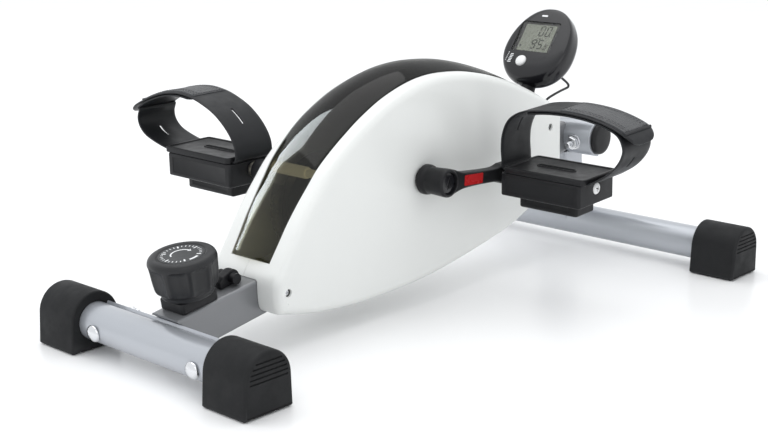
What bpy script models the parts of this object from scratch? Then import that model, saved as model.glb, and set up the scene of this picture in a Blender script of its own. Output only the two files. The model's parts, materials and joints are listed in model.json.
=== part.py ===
"""Under-desk pedal exerciser.

Frame: +X runs from the front stabiliser (tension knob end) to the rear
stabiliser (display end), +Y is the user's left, +Z is up.  The origin is the
middle of the footprint on the floor.  Every length in this file is written in
millimetres; the helpers turn it into Blender's metres.
"""
import bpy
import bmesh
import math
from mathutils import Matrix, Vector

MM = 0.001
GAP = 0.3                      # left between pieces that touch

# ---------------------------------------------------------------- dimensions
STAB_R = 19.0                  # stabiliser tube outer radius (38 mm tube)
TUBE_WALL = 2.0
STAB_Z = 28.5                  # height of both stabiliser tube axes
FRONT_X = -326.0
REAR_X = 326.0
FRONT_WIDTH = 300.0            # over the front foot caps
REAR_WIDTH = 508.0             # over the rear foot caps
CAP_LEN, CAP_W, CAP_H = 56.0, 58.0, 58.0

SLOPE = math.radians(9.6)      # rise of the main tube towards the rear
MAIN_SQ = 38.0                 # main tube square section
MAIN_P = (-304.0, 34.6)        # a point (X, Z) on the main tube's centre line
CROSS_X, CROSS_Z = 315.0, 137.0
CROSS_HALF = 62.0
SADDLE_T = 3.0
FRONT_SADDLE_HALF = 91.0
REAR_SADDLE_HALF = 56.0
FRONT_BOLT_Y = 72.0
REAR_BOLT_Y = 35.0
BOLT_R = 4.0

CRANK_X, CRANK_Z = -9.3, 139.5
CRANK_R = 109.0                # crank length
CRANK_TILT = math.radians(3.4) # right crank points to +X, this much below level
AXLE_R = 8.0
HUB_R = 15.0
HUB_IN, HUB_OUT = 53.5, 87.0   # |Y| range of the crank hubs
ARM_IN, ARM_OUT = 71.5, 84.5   # |Y| range of the crank arms

PEDAL_IN = 93.5                # |Y| of the pedals' inner ends
PEDAL_LEN = 101.0
PEDAL_W = 64.0
STRAP_W = 52.0
STRAP_T = 2.0
TREAD_TOP = 15.6               # tread surface above the spindle
BLOCK_TOP, BLOCK_LOW, KEEL_LOW = 9.0, -16.0, -30.5
TIP = {"right": math.radians(3.0), "left": math.radians(1.5)}   # how far the pedals rest nose down

SHELL_HALF = 49.0              # housing half thickness
SHELL_WALL = 2.5
SHELL_ROUND = 10.0

FLY_X, FLY_Z, FLY_R = -80.0, 112.0, 55.0
PULLEY_R, SMALL_R = 50.0, 10.0 # belt ratio 5
MAG_X, MAG_Z = -140.0, 64.0    # magnet bracket pivot
MAG_OPEN = math.radians(6.0)

KNOB_S = 21.3                  # knob axis, distance along the main tube
CONSOLE_C = (256.5, 0.0, 253.0)
CONSOLE_TILT = math.radians(37.0)
CONSOLE_W, CONSOLE_H = 90.0, 101.0

# ---------------------------------------------------------------- clear scene
for old in list(bpy.data.objects):
    bpy.data.objects.remove(old, do_unlink=True)

PARTS = bpy.data.collections.new("pedal_exerciser")
CUTTERS = bpy.data.collections.new("cutters")
for c in (PARTS, CUTTERS):
    bpy.context.scene.collection.children.link(c)


def material(name, color, rough, metal=0.0, alpha=1.0):
    m = bpy.data.materials.new(name)
    m.use_nodes = True
    p = m.node_tree.nodes["Principled BSDF"]
    p.inputs["Base Color"].default_value = (*color, 1.0)
    p.inputs["Roughness"].default_value = rough
    p.inputs["Metallic"].default_value = metal
    p.inputs["Alpha"].default_value = alpha
    m.diffuse_color = (*color, alpha)
    return m


SILVER = material("silver_paint", (0.46, 0.47, 0.49), 0.35, 0.6)
GREY = material("grey_paint", (0.33, 0.34, 0.36), 0.4, 0.5)
RUBBER = material("black_rubber", (0.02, 0.022, 0.024), 0.6)
BLACK = material("black_plastic", (0.018, 0.018, 0.02), 0.45)
GLOSSB = material("gloss_black", (0.012, 0.012, 0.014), 0.15)
WHITE = material("white_plastic", (0.86, 0.87, 0.86), 0.2)
SMOKE = material("smoked_clear", (0.05, 0.052, 0.045), 0.08, 0.0, 0.55)
CHROME = material("zinc_plate", (0.75, 0.76, 0.78), 0.2, 1.0)
STEEL = material("steel", (0.42, 0.42, 0.43), 0.35, 1.0)
IRON = material("cast_iron", (0.10, 0.10, 0.105), 0.5, 0.8)
BELT = material("belt_rubber", (0.03, 0.03, 0.03), 0.7)
LCD = material("display_window", (0.32, 0.34, 0.29), 0.15)
WEB = material("strap_web", (0.025, 0.027, 0.03), 0.7)


# ---------------------------------------------------------------- helpers
def put(obj, mat, coll=PARTS):
    for c in list(obj.users_collection):
        c.objects.unlink(obj)
    coll.objects.link(obj)
    if coll is CUTTERS:
        obj.hide_render = True
        obj.display_type = "WIRE"
    elif mat:
        obj.data.materials.clear()
        obj.data.materials.append(mat)
    return obj


def from_bm(name, bm, mat=None, coll=PARTS, place=None):
    me = bpy.data.meshes.new(name)
    bm.to_mesh(me)
    bm.free()
    ob = bpy.data.objects.new(name, me)
    put(ob, mat, coll)
    if place is not None:
        ob.matrix_world = place
    return ob


def at(x, y, z, rot=None):
    m = Matrix.Translation(Vector((x, y, z)) * MM)
    return m @ rot.to_4x4() if rot is not None else m


def along(p, d, up=(0, 1, 0)):
    """Placement whose local +Z points along d, at point p."""
    z = Vector(d).normalized()
    x = Vector(up).cross(z)
    if x.length < 1e-6:
        x = Vector((1, 0, 0)).cross(z)
    x.normalize()
    y = z.cross(x)
    r = Matrix((x, y, z)).transposed()
    return at(*p, rot=r)


def box(name, size, mat=None, coll=PARTS, place=None, bevel=0.0, segments=2):
    bm = bmesh.new()
    bmesh.ops.create_cube(bm, size=1.0)
    bmesh.ops.scale(bm, vec=Vector(size) * MM, verts=bm.verts)
    ob = from_bm(name, bm, mat, coll, place)
    if bevel:
        add_bevel(ob, bevel, segments)
    return ob


def add_bevel(ob, width, segments=2, angle=40.0):
    b = ob.modifiers.new("rounding", "BEVEL")
    b.width = width * MM
    b.segments = segments
    b.limit_method = "ANGLE"
    b.angle_limit = math.radians(angle)
    return b


def rod(name, r, length, mat=None, coll=PARTS, place=None, seg=28, r2=None):
    """Solid cylinder from local z=0 to z=length."""
    bm = bmesh.new()
    bmesh.ops.create_cone(bm, cap_ends=True, segments=seg, radius1=r * MM,
                          radius2=(r if r2 is None else r2) * MM, depth=length * MM)
    bmesh.ops.translate(bm, vec=(0, 0, length * MM / 2), verts=bm.verts)
    ob = from_bm(name, bm, mat, coll, place)
    smooth(ob)
    return ob


def smooth(ob, angle=35.0):
    ob.data.shade_smooth()
    ob.data.set_sharp_from_angle(angle=math.radians(angle))


def turned(name, profile, mat=None, coll=PARTS, place=None, steps=28, ring=False):
    """Turn a profile of (radius, height) points about local Z.  The points run
    down the outer side, from the top to the bottom."""
    bm = bmesh.new()
    vs = [bm.verts.new((r * MM, 0, z * MM)) for r, z in profile]
    for a, b in zip(vs, vs[1:]):
        bm.edges.new((a, b))
    if ring:
        bm.edges.new((vs[-1], vs[0]))
    ob = from_bm(name, bm, mat, coll, place)
    s = ob.modifiers.new("turn", "SCREW")
    s.axis = "Z"
    s.angle = 2 * math.pi
    s.steps = steps
    s.render_steps = steps
    s.use_merge_vertices = True
    s.merge_threshold = 0.00001
    s.use_smooth_shade = steps > 8
    return ob


def bake(ob, coll=None):
    """Replace an object by its evaluated, welded mesh."""
    dg = bpy.context.evaluated_depsgraph_get()
    dg.update()
    me = bpy.data.meshes.new_from_object(ob.evaluated_get(dg))
    bm = bmesh.new()
    bm.from_mesh(me)
    bmesh.ops.remove_doubles(bm, verts=bm.verts, dist=0.00001)
    bmesh.ops.recalc_face_normals(bm, faces=bm.faces)
    bm.to_mesh(me)
    bm.free()
    name = ob.name
    mw = ob.matrix_world.copy()
    mats = [m for m in ob.data.materials]
    c = coll or ob.users_collection[0]
    bpy.data.objects.remove(ob, do_unlink=True)
    new = bpy.data.objects.new(name, me)
    put(new, None, c)
    me.name = name
    me.materials.clear()
    for m in mats:
        me.materials.append(m)
    new.matrix_world = mw
    return new


def flat(name, loops, half, mat=None, coll=PARTS, plane="XZ", centre=0.0):
    """A flat outline (one or more closed loops of 2D points) with a thickness
    of 2*half.  plane XZ: points are (X, Z), thickness along Y.  plane YZ:
    points are (Y, Z), thickness along X."""
    cu = bpy.data.curves.new(name, "CURVE")
    cu.dimensions = "2D"
    cu.fill_mode = "BOTH"
    cu.extrude = half * MM
    for pts in loops:
        sp = cu.splines.new("POLY")
        sp.points.add(len(pts) - 1)
        for q, (a, b) in zip(sp.points, pts):
            q.co = (a * MM, b * MM, 0, 1)
        sp.use_cyclic_u = True
    ob = bpy.data.objects.new(name, cu)
    put(ob, None, coll)
    if mat:
        cu.materials.append(mat)
    if plane == "XZ":
        r = Matrix(((1, 0, 0), (0, 0, -1), (0, 1, 0)))
        ob.matrix_world = at(0, centre, 0, r)
    elif plane == "YZ":
        r = Matrix(((0, 0, 1), (1, 0, 0), (0, 1, 0)))
        ob.matrix_world = at(centre, 0, 0, r)
    else:
        ob.matrix_world = at(0, 0, centre)
    bpy.context.view_layer.update()
    return bake(ob, coll)


def pipe(name, pts, r, mat=None, coll=PARTS, res=2):
    cu = bpy.data.curves.new(name, "CURVE")
    cu.dimensions = "3D"
    cu.bevel_depth = r * MM
    cu.bevel_resolution = res
    cu.use_fill_caps = True
    sp = cu.splines.new("POLY")
    sp.points.add(len(pts) - 1)
    for q, p in zip(sp.points, pts):
        q.co = (p[0] * MM, p[1] * MM, p[2] * MM, 1)
    ob = bpy.data.objects.new(name, cu)
    put(ob, None, coll)
    if mat:
        cu.materials.append(mat)
    bpy.context.view_layer.update()
    return bake(ob, coll)


def boolean(ob, other, op):
    b = ob.modifiers.new(op.lower(), "BOOLEAN")
    b.operation = op
    b.object = other
    b.solver = "EXACT"
    return ob


def cut(ob, *tools):
    for t in tools:
        boolean(ob, t, "DIFFERENCE")
    return ob


def join(ob, *tools):
    for t in tools:
        boolean(ob, t, "UNION")
    return ob


def catmull(pts, per=4, closed=False):
    """Smooth curve through points."""
    n = len(pts)
    out = []
    last = n if closed else n - 1
    for i in range(last):
        if closed:
            p0, p1, p2, p3 = (pts[(i + k - 1) % n] for k in range(4))
        else:
            p1, p2 = pts[i], pts[i + 1]
            p0 = pts[i - 1] if i else tuple(2 * a - b for a, b in zip(p1, p2))
            p3 = pts[i + 2] if i + 2 < n else tuple(2 * b - a for a, b in zip(p1, p2))
        for k in range(per):
            t = k / per
            out.append(tuple(0.5 * ((2 * b) + (c - a) * t + (2 * a - 5 * b + 4 * c - d) * t * t
                                    + (3 * b - a - 3 * c + d) * t ** 3)
                             for a, b, c, d in zip(p0, p1, p2, p3)))
    if not closed:
        out.append(tuple(pts[-1]))
    return out


def offset(pts, d, closed=True):
    """Shift a 2D polyline sideways by d (to its left)."""
    n = len(pts)
    out = []
    for i, p in enumerate(pts):
        a = pts[(i - 1) % n] if closed or i else p
        b = pts[(i + 1) % n] if closed or i < n - 1 else p
        t = Vector((b[0] - a[0], b[1] - a[1])).normalized()
        out.append((p[0] - t.y * d, p[1] + t.x * d))
    return out


def arc(cx, cz, r, a0, a1, n):
    return [(cx + r * math.cos(a0 + (a1 - a0) * i / n), cz + r * math.sin(a0 + (a1 - a0) * i / n))
            for i in range(n + 1)]


# directions of the main tube: along it, and square to it upwards
TD = Vector((math.cos(SLOPE), 0, math.sin(SLOPE)))
TN = Vector((-math.sin(SLOPE), 0, math.cos(SLOPE)))


def on_tube(s, y, n):
    """Point at distance s along the main tube and n off its centre line."""
    v = Vector((MAIN_P[0], 0, MAIN_P[1])) + TD * s + TN * n
    return (v.x, y, v.z)


TUBE_ROT = Matrix((TD, Vector((0, 1, 0)), TN)).transposed()

# ---------------------------------------------------------------- stabilisers
front_bolt_hole = {}
rear_bolt_hole = {}
for side, sy in (("right", -1), ("left", 1)):
    c = Vector((FRONT_X, sy * FRONT_BOLT_Y, STAB_Z))
    front_bolt_hole[side] = rod("hole_front_bolt_" + side, BOLT_R + 0.5, 80, coll=CUTTERS,
                                place=along(c - TD * 40, TD), seg=14)
    c = Vector((CROSS_X, sy * REAR_BOLT_Y, CROSS_Z))
    rear_bolt_hole[side] = rod("hole_rear_bolt_" + side, BOLT_R + 0.5, 90, coll=CUTTERS,
                               place=along(c - TD * 45, TD), seg=14)


def round_tube(name, x, z, half, mat):
    r, ri = STAB_R, STAB_R - TUBE_WALL
    return turned(name, [(r, half), (r, -half), (ri, -half), (ri, half)], mat,
                  place=along((x, 0, z), (0, 1, 0), up=(1, 0, 0)), steps=28, ring=True)


front_tube = round_tube("front_stabiliser_tube", FRONT_X, STAB_Z, FRONT_WIDTH / 2 - 6, SILVER)
cut(front_tube, *front_bolt_hole.values())
rear_tube = round_tube("rear_stabiliser_tube", REAR_X, STAB_Z, REAR_WIDTH / 2 - 6, SILVER)
cross_tube = round_tube("rear_cross_tube", CROSS_X, CROSS_Z, CROSS_HALF - 6, SILVER)
cut(cross_tube, *rear_bolt_hole.values())


def cap_outline():
    """D shaped end view of a foot cap: flat sole, flared sides, arched top."""
    h = CAP_W / 2
    pts = [(-h, 0.0), (h, 0.0), (h, 4.0)]
    top = []
    for i in range(13):
        a = math.radians(4 + 172 * i / 12)
        top.append((27.2 * math.cos(a), 30.8 + 27.2 * math.sin(a)))
    return pts + top + [(-h, 4.0)]


def foot_cap(name, x, ysign, width):
    y_out = ysign * width / 2
    cap = flat(name, [[(x + a, b) for a, b in cap_outline()]], CAP_LEN / 2, RUBBER,
               centre=y_out - ysign * CAP_LEN / 2)
    socket = rod("socket_" + name, STAB_R + GAP, CAP_LEN, coll=CUTTERS,
                 place=along((x, y_out - ysign * 5.7, STAB_Z), (0, -ysign, 0), up=(1, 0, 0)), seg=32)
    cut(cap, socket)
    return cap


for side, sy in (("right", -1), ("left", 1)):
    foot_cap("foot_cap_front_" + side, FRONT_X, sy, FRONT_WIDTH)
    foot_cap("foot_cap_rear_" + side, REAR_X, sy, REAR_WIDTH)
    # round plug in the end of the short cross tube
    turned("cross_tube_plug_" + side,
           [(0, 6), (17.5, 6), (19.4, 4.5), (19.4, 0.3), (16.5, 0.3), (16.5, -9), (0, -9)],
           BLACK, place=along((CROSS_X, sy * (CROSS_HALF - 6), CROSS_Z), (0, sy, 0), up=(1, 0, 0)),
           steps=24)


def saddle(name, x, z, half, mid, spread, holes):
    """Curved plate that wraps part of a round tube."""
    r0, r1 = STAB_R + GAP, STAB_R + GAP + SADDLE_T
    loop = arc(x, z, r1, mid - spread, mid + spread, 11) + arc(x, z, r0, mid + spread, mid - spread, 11)
    ob = flat(name, [loop], half, GREY)
    cut(ob, *holes)
    return ob


saddle("front_saddle_plate", FRONT_X, STAB_Z, FRONT_SADDLE_HALF, SLOPE, math.radians(46),
       front_bolt_hole.values())
saddle("rear_saddle_plate", CROSS_X, CROSS_Z, REAR_SADDLE_HALF, math.pi + SLOPE, math.radians(82),
       rear_bolt_hole.values())


def carriage_bolt(name, p, d, length):
    """Domed head at p, shank running along d."""
    r = BOLT_R
    prof = [(0, 5.2), (4.5, 4.6), (8.6, 1.2), (8.6, 0.3), (r, 0.3), (r, -length), (0, -length)]
    return turned(name, prof, CHROME, place=along(p, -Vector(d)), steps=14)


def hex_nut(name, p, d):
    return turned(name, [(7.4, 6.8), (7.4, 0.3), (5.2, 0.3), (5.2, 6.8)], CHROME,
                  place=along(p, d), steps=6, ring=True)


for side, sy in (("right", -1), ("left", 1)):
    c = Vector((FRONT_X, sy * FRONT_BOLT_Y, STAB_Z))
    carriage_bolt("front_bolt_" + side, c - TD * STAB_R, TD, 2 * STAB_R + 16)
    hex_nut("front_nut_" + side, c + TD * (STAB_R + GAP + SADDLE_T), TD)
    c = Vector((CROSS_X, sy * REAR_BOLT_Y, CROSS_Z))
    carriage_bolt("rear_bolt_" + side, c + TD * STAB_R, -TD, 2 * STAB_R + 20)
    hex_nut("rear_nut_" + side, c - TD * (STAB_R + GAP + SADDLE_T), -TD)

# ---------------------------------------------------------------- main frame
tube_len = 640.0
mid = on_tube(310, 0, 0)
main_tube = box("main_tube", (tube_len, MAIN_SQ, MAIN_SQ), GREY, place=at(*mid, TUBE_ROT))
add_bevel(main_tube, 2.2, 1)
inner = box("main_tube_inside", (tube_len + 40, MAIN_SQ - 5, MAIN_SQ - 5), coll=CUTTERS,
            place=at(*mid, TUBE_ROT))
cope_r = STAB_R + 2 * GAP + SADDLE_T
cope_front = rod("cope_front", cope_r, 80, coll=CUTTERS,
                 place=along((FRONT_X, -40, STAB_Z), (0, 1, 0), up=(1, 0, 0)), seg=32)
cope_rear = rod("cope_rear", cope_r, 80, coll=CUTTERS,
                place=along((CROSS_X, -40, CROSS_Z), (0, 1, 0), up=(1, 0, 0)), seg=32)
end_front = box("trim_front", (60, 80, 80), coll=CUTTERS, place=at(*on_tube(-40, 0, 0), TUBE_ROT))
end_rear = box("trim_rear", (60, 80, 80), coll=CUTTERS, place=at(*on_tube(642, 0, 0), TUBE_ROT))
pivot_stud = rod("magnet_pivot_stud", 4.0, 22, coll=CUTTERS,
                 place=along((MAG_X, MAIN_SQ / 2 - 1.5, MAG_Z), (0, 1, 0), up=(1, 0, 0)), seg=16)
knob_hole = rod("cable_hole_top", 4.5, 14, coll=CUTTERS,
                place=along(on_tube(KNOB_S, 0, 10), TN), seg=16)
side_hole = rod("cable_hole_side", 5.0, 14, coll=CUTTERS,
                place=along((-162.0, 10, 58.5), (0, 1, 0), up=(1, 0, 0)), seg=16)
cut(main_tube, inner, cope_front, cope_rear, end_front, end_rear, knob_hole, side_hole)
join(main_tube, pivot_stud)

# upright between the rear floor tube and the short cross tube
lean = Vector((CROSS_X - REAR_X, 0, CROSS_Z - STAB_Z))
up_rot = along((0, 0, 0), lean).to_3x3()
upright = box("rear_upright_tube", (38, 38, lean.length), SILVER,
              place=at((CROSS_X + REAR_X) / 2, 0, (CROSS_Z + STAB_Z) / 2, up_rot))
add_bevel(upright, 2.2, 1)
up_in = box("upright_inside", (33, 33, lean.length + 20), coll=CUTTERS,
            place=at((CROSS_X + REAR_X) / 2, 0, (CROSS_Z + STAB_Z) / 2, up_rot))
cope_low = rod("cope_low", STAB_R + GAP, 80, coll=CUTTERS,
               place=along((REAR_X, -40, STAB_Z), (0, 1, 0), up=(1, 0, 0)), seg=32)
cope_up = rod("cope_up", STAB_R + GAP, 80, coll=CUTTERS,
              place=along((CROSS_X, -40, CROSS_Z), (0, 1, 0), up=(1, 0, 0)), seg=32)
tube_clear = box("tube_clear", (120, 60, MAIN_SQ + 2 * GAP), coll=CUTTERS,
                 place=at(*on_tube(565, 0, 0), TUBE_ROT))
sp = math.radians(86)
saddle_clear = flat("saddle_clear",
                    [arc(CROSS_X, CROSS_Z, STAB_R + 2 * GAP + SADDLE_T, math.pi + SLOPE - sp, math.pi + SLOPE + sp, 24)
                     + [(CROSS_X, CROSS_Z)]], 60, coll=CUTTERS)
cut(upright, up_in, cope_low, cope_up, tube_clear, saddle_clear)

# bearing shell of the crank, on a block that stands on the main tube
bb = turned("crank_bearing_shell", [(17, 22), (17, -22), (13.3, -22), (13.3, 22)], GREY,
            place=along((CRANK_X, 0, CRANK_Z), (0, 1, 0), up=(1, 0, 0)), steps=28, ring=True)
S_CRANK = (Vector((CRANK_X, 0, CRANK_Z)) - Vector((MAIN_P[0], 0, MAIN_P[1]))).dot(TD)
N_CRANK = (Vector((CRANK_X, 0, CRANK_Z)) - Vector((MAIN_P[0], 0, MAIN_P[1]))).dot(TN)
low = MAIN_SQ / 2 + GAP
web_pts = [on_tube(S_CRANK - 30, 0, low), on_tube(S_CRANK + 30, 0, low),
           on_tube(S_CRANK + 12, 0, N_CRANK - 10), on_tube(S_CRANK - 12, 0, N_CRANK - 10)]
web = flat("crank_bearing_web", [[(p[0], p[2]) for p in web_pts]], 12, coll=CUTTERS)
bore = rod("crank_bearing_bore", 13.3, 60, coll=CUTTERS,
           place=along((CRANK_X, -30, CRANK_Z), (0, 1, 0), up=(1, 0, 0)), seg=28)
join(bb, web)
cut(bb, bore)

# U bracket that carries the flywheel's shaft
S_FLY = (Vector((FLY_X, 0, FLY_Z)) - Vector((MAIN_P[0], 0, MAIN_P[1]))).dot(TD)
N_FLY = (Vector((FLY_X, 0, FLY_Z)) - Vector((MAIN_P[0], 0, MAIN_P[1]))).dot(TN)
ears_h = N_FLY + 9 - low
brk = box("flywheel_bracket", (26, 34, ears_h), GREY,
          place=at(*on_tube(S_FLY, 0, low + ears_h / 2), TUBE_ROT))
brk_in = box("flywheel_bracket_inside", (60, 26, ears_h), coll=CUTTERS,
             place=at(*on_tube(S_FLY, 0, low + ears_h / 2 + 4), TUBE_ROT))
brk_bore = rod("flywheel_bracket_bore", 5.4, 80, coll=CUTTERS,
               place=along((FLY_X, -40, FLY_Z), (0, 1, 0), up=(1, 0, 0)), seg=20)
cut(brk, brk_in, brk_bore)

# ---------------------------------------------------------------- crank train
Y_AX = dict(up=(1, 0, 0))
turned("crank_axle", [(0, 79), (7, 79), (AXLE_R, 78), (AXLE_R, -78), (7, -79), (0, -79)], STEEL,
       place=along((CRANK_X, 0, CRANK_Z), (0, 1, 0), **Y_AX), steps=24)
for side, sy in (("right", -1), ("left", 1)):
    turned("crank_bearing_" + side, [(13.0, 21), (13.0, 13), (AXLE_R + GAP, 13), (AXLE_R + GAP, 21)],
           STEEL, place=along((CRANK_X, 0, CRANK_Z), (0, sy, 0), **Y_AX), steps=24, ring=True)
rp = PULLEY_R - GAP
turned("drive_pulley",
       [(rp + 2.5, 34.5), (rp, 33.6), (rp, 26.4), (rp + 2.5, 25.5),
        (rp - 5, 25.5), (rp - 5, 28.5), (16, 28.5), (AXLE_R + GAP, 25.5),
        (AXLE_R + GAP, 36), (16, 31.5), (rp - 5, 31.5), (rp - 5, 34.5)],
       BLACK, place=along((CRANK_X, 0, CRANK_Z), (0, -1, 0), **Y_AX), steps=28, ring=True)
turned("flywheel",
       [(FLY_R, 36), (FLY_R, 24), (FLY_R - 12, 24), (FLY_R - 13, 27), (14, 27), (5.3, 23),
        (5.3, 37), (14, 33), (FLY_R - 13, 33), (FLY_R - 12, 36)],
       IRON, place=along((FLY_X, 0, FLY_Z), (0, 1, 0), **Y_AX), steps=32, ring=True)
rs = SMALL_R - GAP
turned("flywheel_shaft",
       [(0, 40), (5, 40), (5, -25), (rs + 2, -25), (rs, -26), (rs, -34), (rs + 2, -35), (0, -35)],
       STEEL, place=along((FLY_X, 0, FLY_Z), (0, 1, 0), **Y_AX), steps=20)


def belt_loop(r1, r2):
    """Outline of a belt round the drive pulley and the small pulley."""
    dx, dz = FLY_X - CRANK_X, FLY_Z - CRANK_Z
    dist = math.hypot(dx, dz)
    base = math.atan2(dz, dx)
    open_a = math.acos((r1 - r2) / dist)
    big = arc(CRANK_X, CRANK_Z, r1, base + open_a, base + 2 * math.pi - open_a, 22)
    small = arc(FLY_X, FLY_Z, r2, base - open_a, base + open_a, 6)
    return big + small


flat("drive_belt", [belt_loop(PULLEY_R + 2, SMALL_R + 2), belt_loop(PULLEY_R, SMALL_R)], 3.0, BELT,
     centre=-30)

# magnet bracket, drawn closed round the flywheel and then swung open
sector = arc(FLY_X, FLY_Z, FLY_R + 7.5, math.radians(150), math.radians(216), 14) \
    + arc(FLY_X, FLY_Z, FLY_R + 2.5, math.radians(216), math.radians(150), 14)
mag = flat("magnet_bracket", [sector], 6.0, STEEL, centre=30)
foot = arc(FLY_X, FLY_Z, FLY_R + 5, math.radians(212), math.radians(215), 1)[0]
limb = flat("magnet_limb", [[(MAG_X - 5, MAG_Z), (MAG_X + 4, MAG_Z - 4), (foot[0] + 4, foot[1] - 2),
                            (foot[0] - 1, foot[1] + 2)]], 3.0, coll=CUTTERS, centre=30)
eye = rod("magnet_eye", 8, 12, coll=CUTTERS, place=along((MAG_X, 24, MAG_Z), (0, 1, 0), **Y_AX), seg=24)
eye_bore = rod("magnet_eye_bore", 4.4, 40, coll=CUTTERS,
               place=along((MAG_X, 10, MAG_Z), (0, 1, 0), **Y_AX), seg=20)
join(mag, limb, eye)
cut(mag, eye_bore)
mag = bake(mag, PARTS)
piv = Matrix.Translation(Vector((MAG_X, 0, MAG_Z)) * MM)
mag.matrix_world = piv @ Matrix.Rotation(-MAG_OPEN, 4, "Y") @ piv.inverted() @ mag.matrix_world

pipe("tension_cable",
     catmull([on_tube(KNOB_S, 0, 17), on_tube(KNOB_S + 3, 0, 8), on_tube(KNOB_S + 14, 0, 0),
              on_tube(60, 0, -2), on_tube(100, 1, -1), on_tube(130, 5, 0), (-165.0, 14, 58.5),
              (-158.5, 24, 60), (-151.5, 30, 62)], 3), 1.5, BLACK)

# ---------------------------------------------------------------- cranks and pedals

def crank_outline(ang, px, pz):
    """Side view of a crank arm: round hub end, slim waist, round pedal eye."""
    d = Vector((math.cos(ang), math.sin(ang)))
    n = Vector((-d.y, d.x))
    rail = [(6.0, 13.6), (16.0, 11.2), (26.0, 8.6), (40.0, 7.8), (62.0, 7.2), (82.0, 7.2), (93.0, 9.6)]
    up = [(CRANK_X + d.x * a + n.x * b, CRANK_Z + d.y * a + n.y * b) for a, b in rail]
    dn = [(CRANK_X + d.x * a - n.x * b, CRANK_Z + d.y * a - n.y * b) for a, b in reversed(rail)]
    eye = arc(px, pz, 12.0, ang + math.radians(110), ang - math.radians(110), 12)
    hub = arc(CRANK_X, CRANK_Z, 14.0, ang - math.radians(100), ang - math.radians(260), 6)
    return up + eye + dn + hub


# centre line of each strap: (|Y|, height above the spindle)
STRAP_TOP = {
    "right": [(250.5, 56.0), (246.5, 62.2), (237.0, 69.0), (219.0, 75.4), (197.0, 79.8), (173.0, 81.5),
              (148.0, 80.7), (121.0, 77.0), (106.0, 70.5), (97.0, 61.5), (91.6, 48.0), (90.2, 34.0)],
    "left": [(261.5, 48.0), (252.5, 53.8), (240.0, 59.6), (224.0, 66.0), (204.0, 71.6), (182.0, 74.4),
             (161.0, 72.8), (143.0, 68.0), (124.0, 60.0), (109.0, 49.5), (98.5, 38.5), (92.5, 28.0)],
}
STRAP_LOW = {
    "right": [(204.0, 12.0), (214.0, 17.6), (224.0, 24.5), (233.0, 33.5), (239.3, 44.0), (240.6, 54.0)],
    "left": [(204.0, 11.4), (222.0, 15.6), (239.0, 21.8), (248.5, 30.5), (250.8, 40.0), (247.6, 49.0)],
}


def strap_path(side):
    """Free tongue, over the top, down the inner side, through the channel
    under the tread, up the outer side and back under its own top layer."""
    inn = PEDAL_IN
    top = STRAP_TOP[side]
    under = offset(top, 2.8 if top[0][0] > top[-1][0] else -2.8, closed=False)
    tail = [under[i] for i in (3, 4, 5, 6, 7)]
    mid = [(91.0, 20.0), (inn - 2.2, 14.2), (inn + 0.3, 10.9), (inn + 6.0, 10.4), (inn + 50.0, 10.4),
           (inn + 101.0, 10.4)]
    return top + mid + STRAP_LOW[side] + [(under[2][0] - 1.5, under[2][1] - 0.8)] + tail


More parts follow.
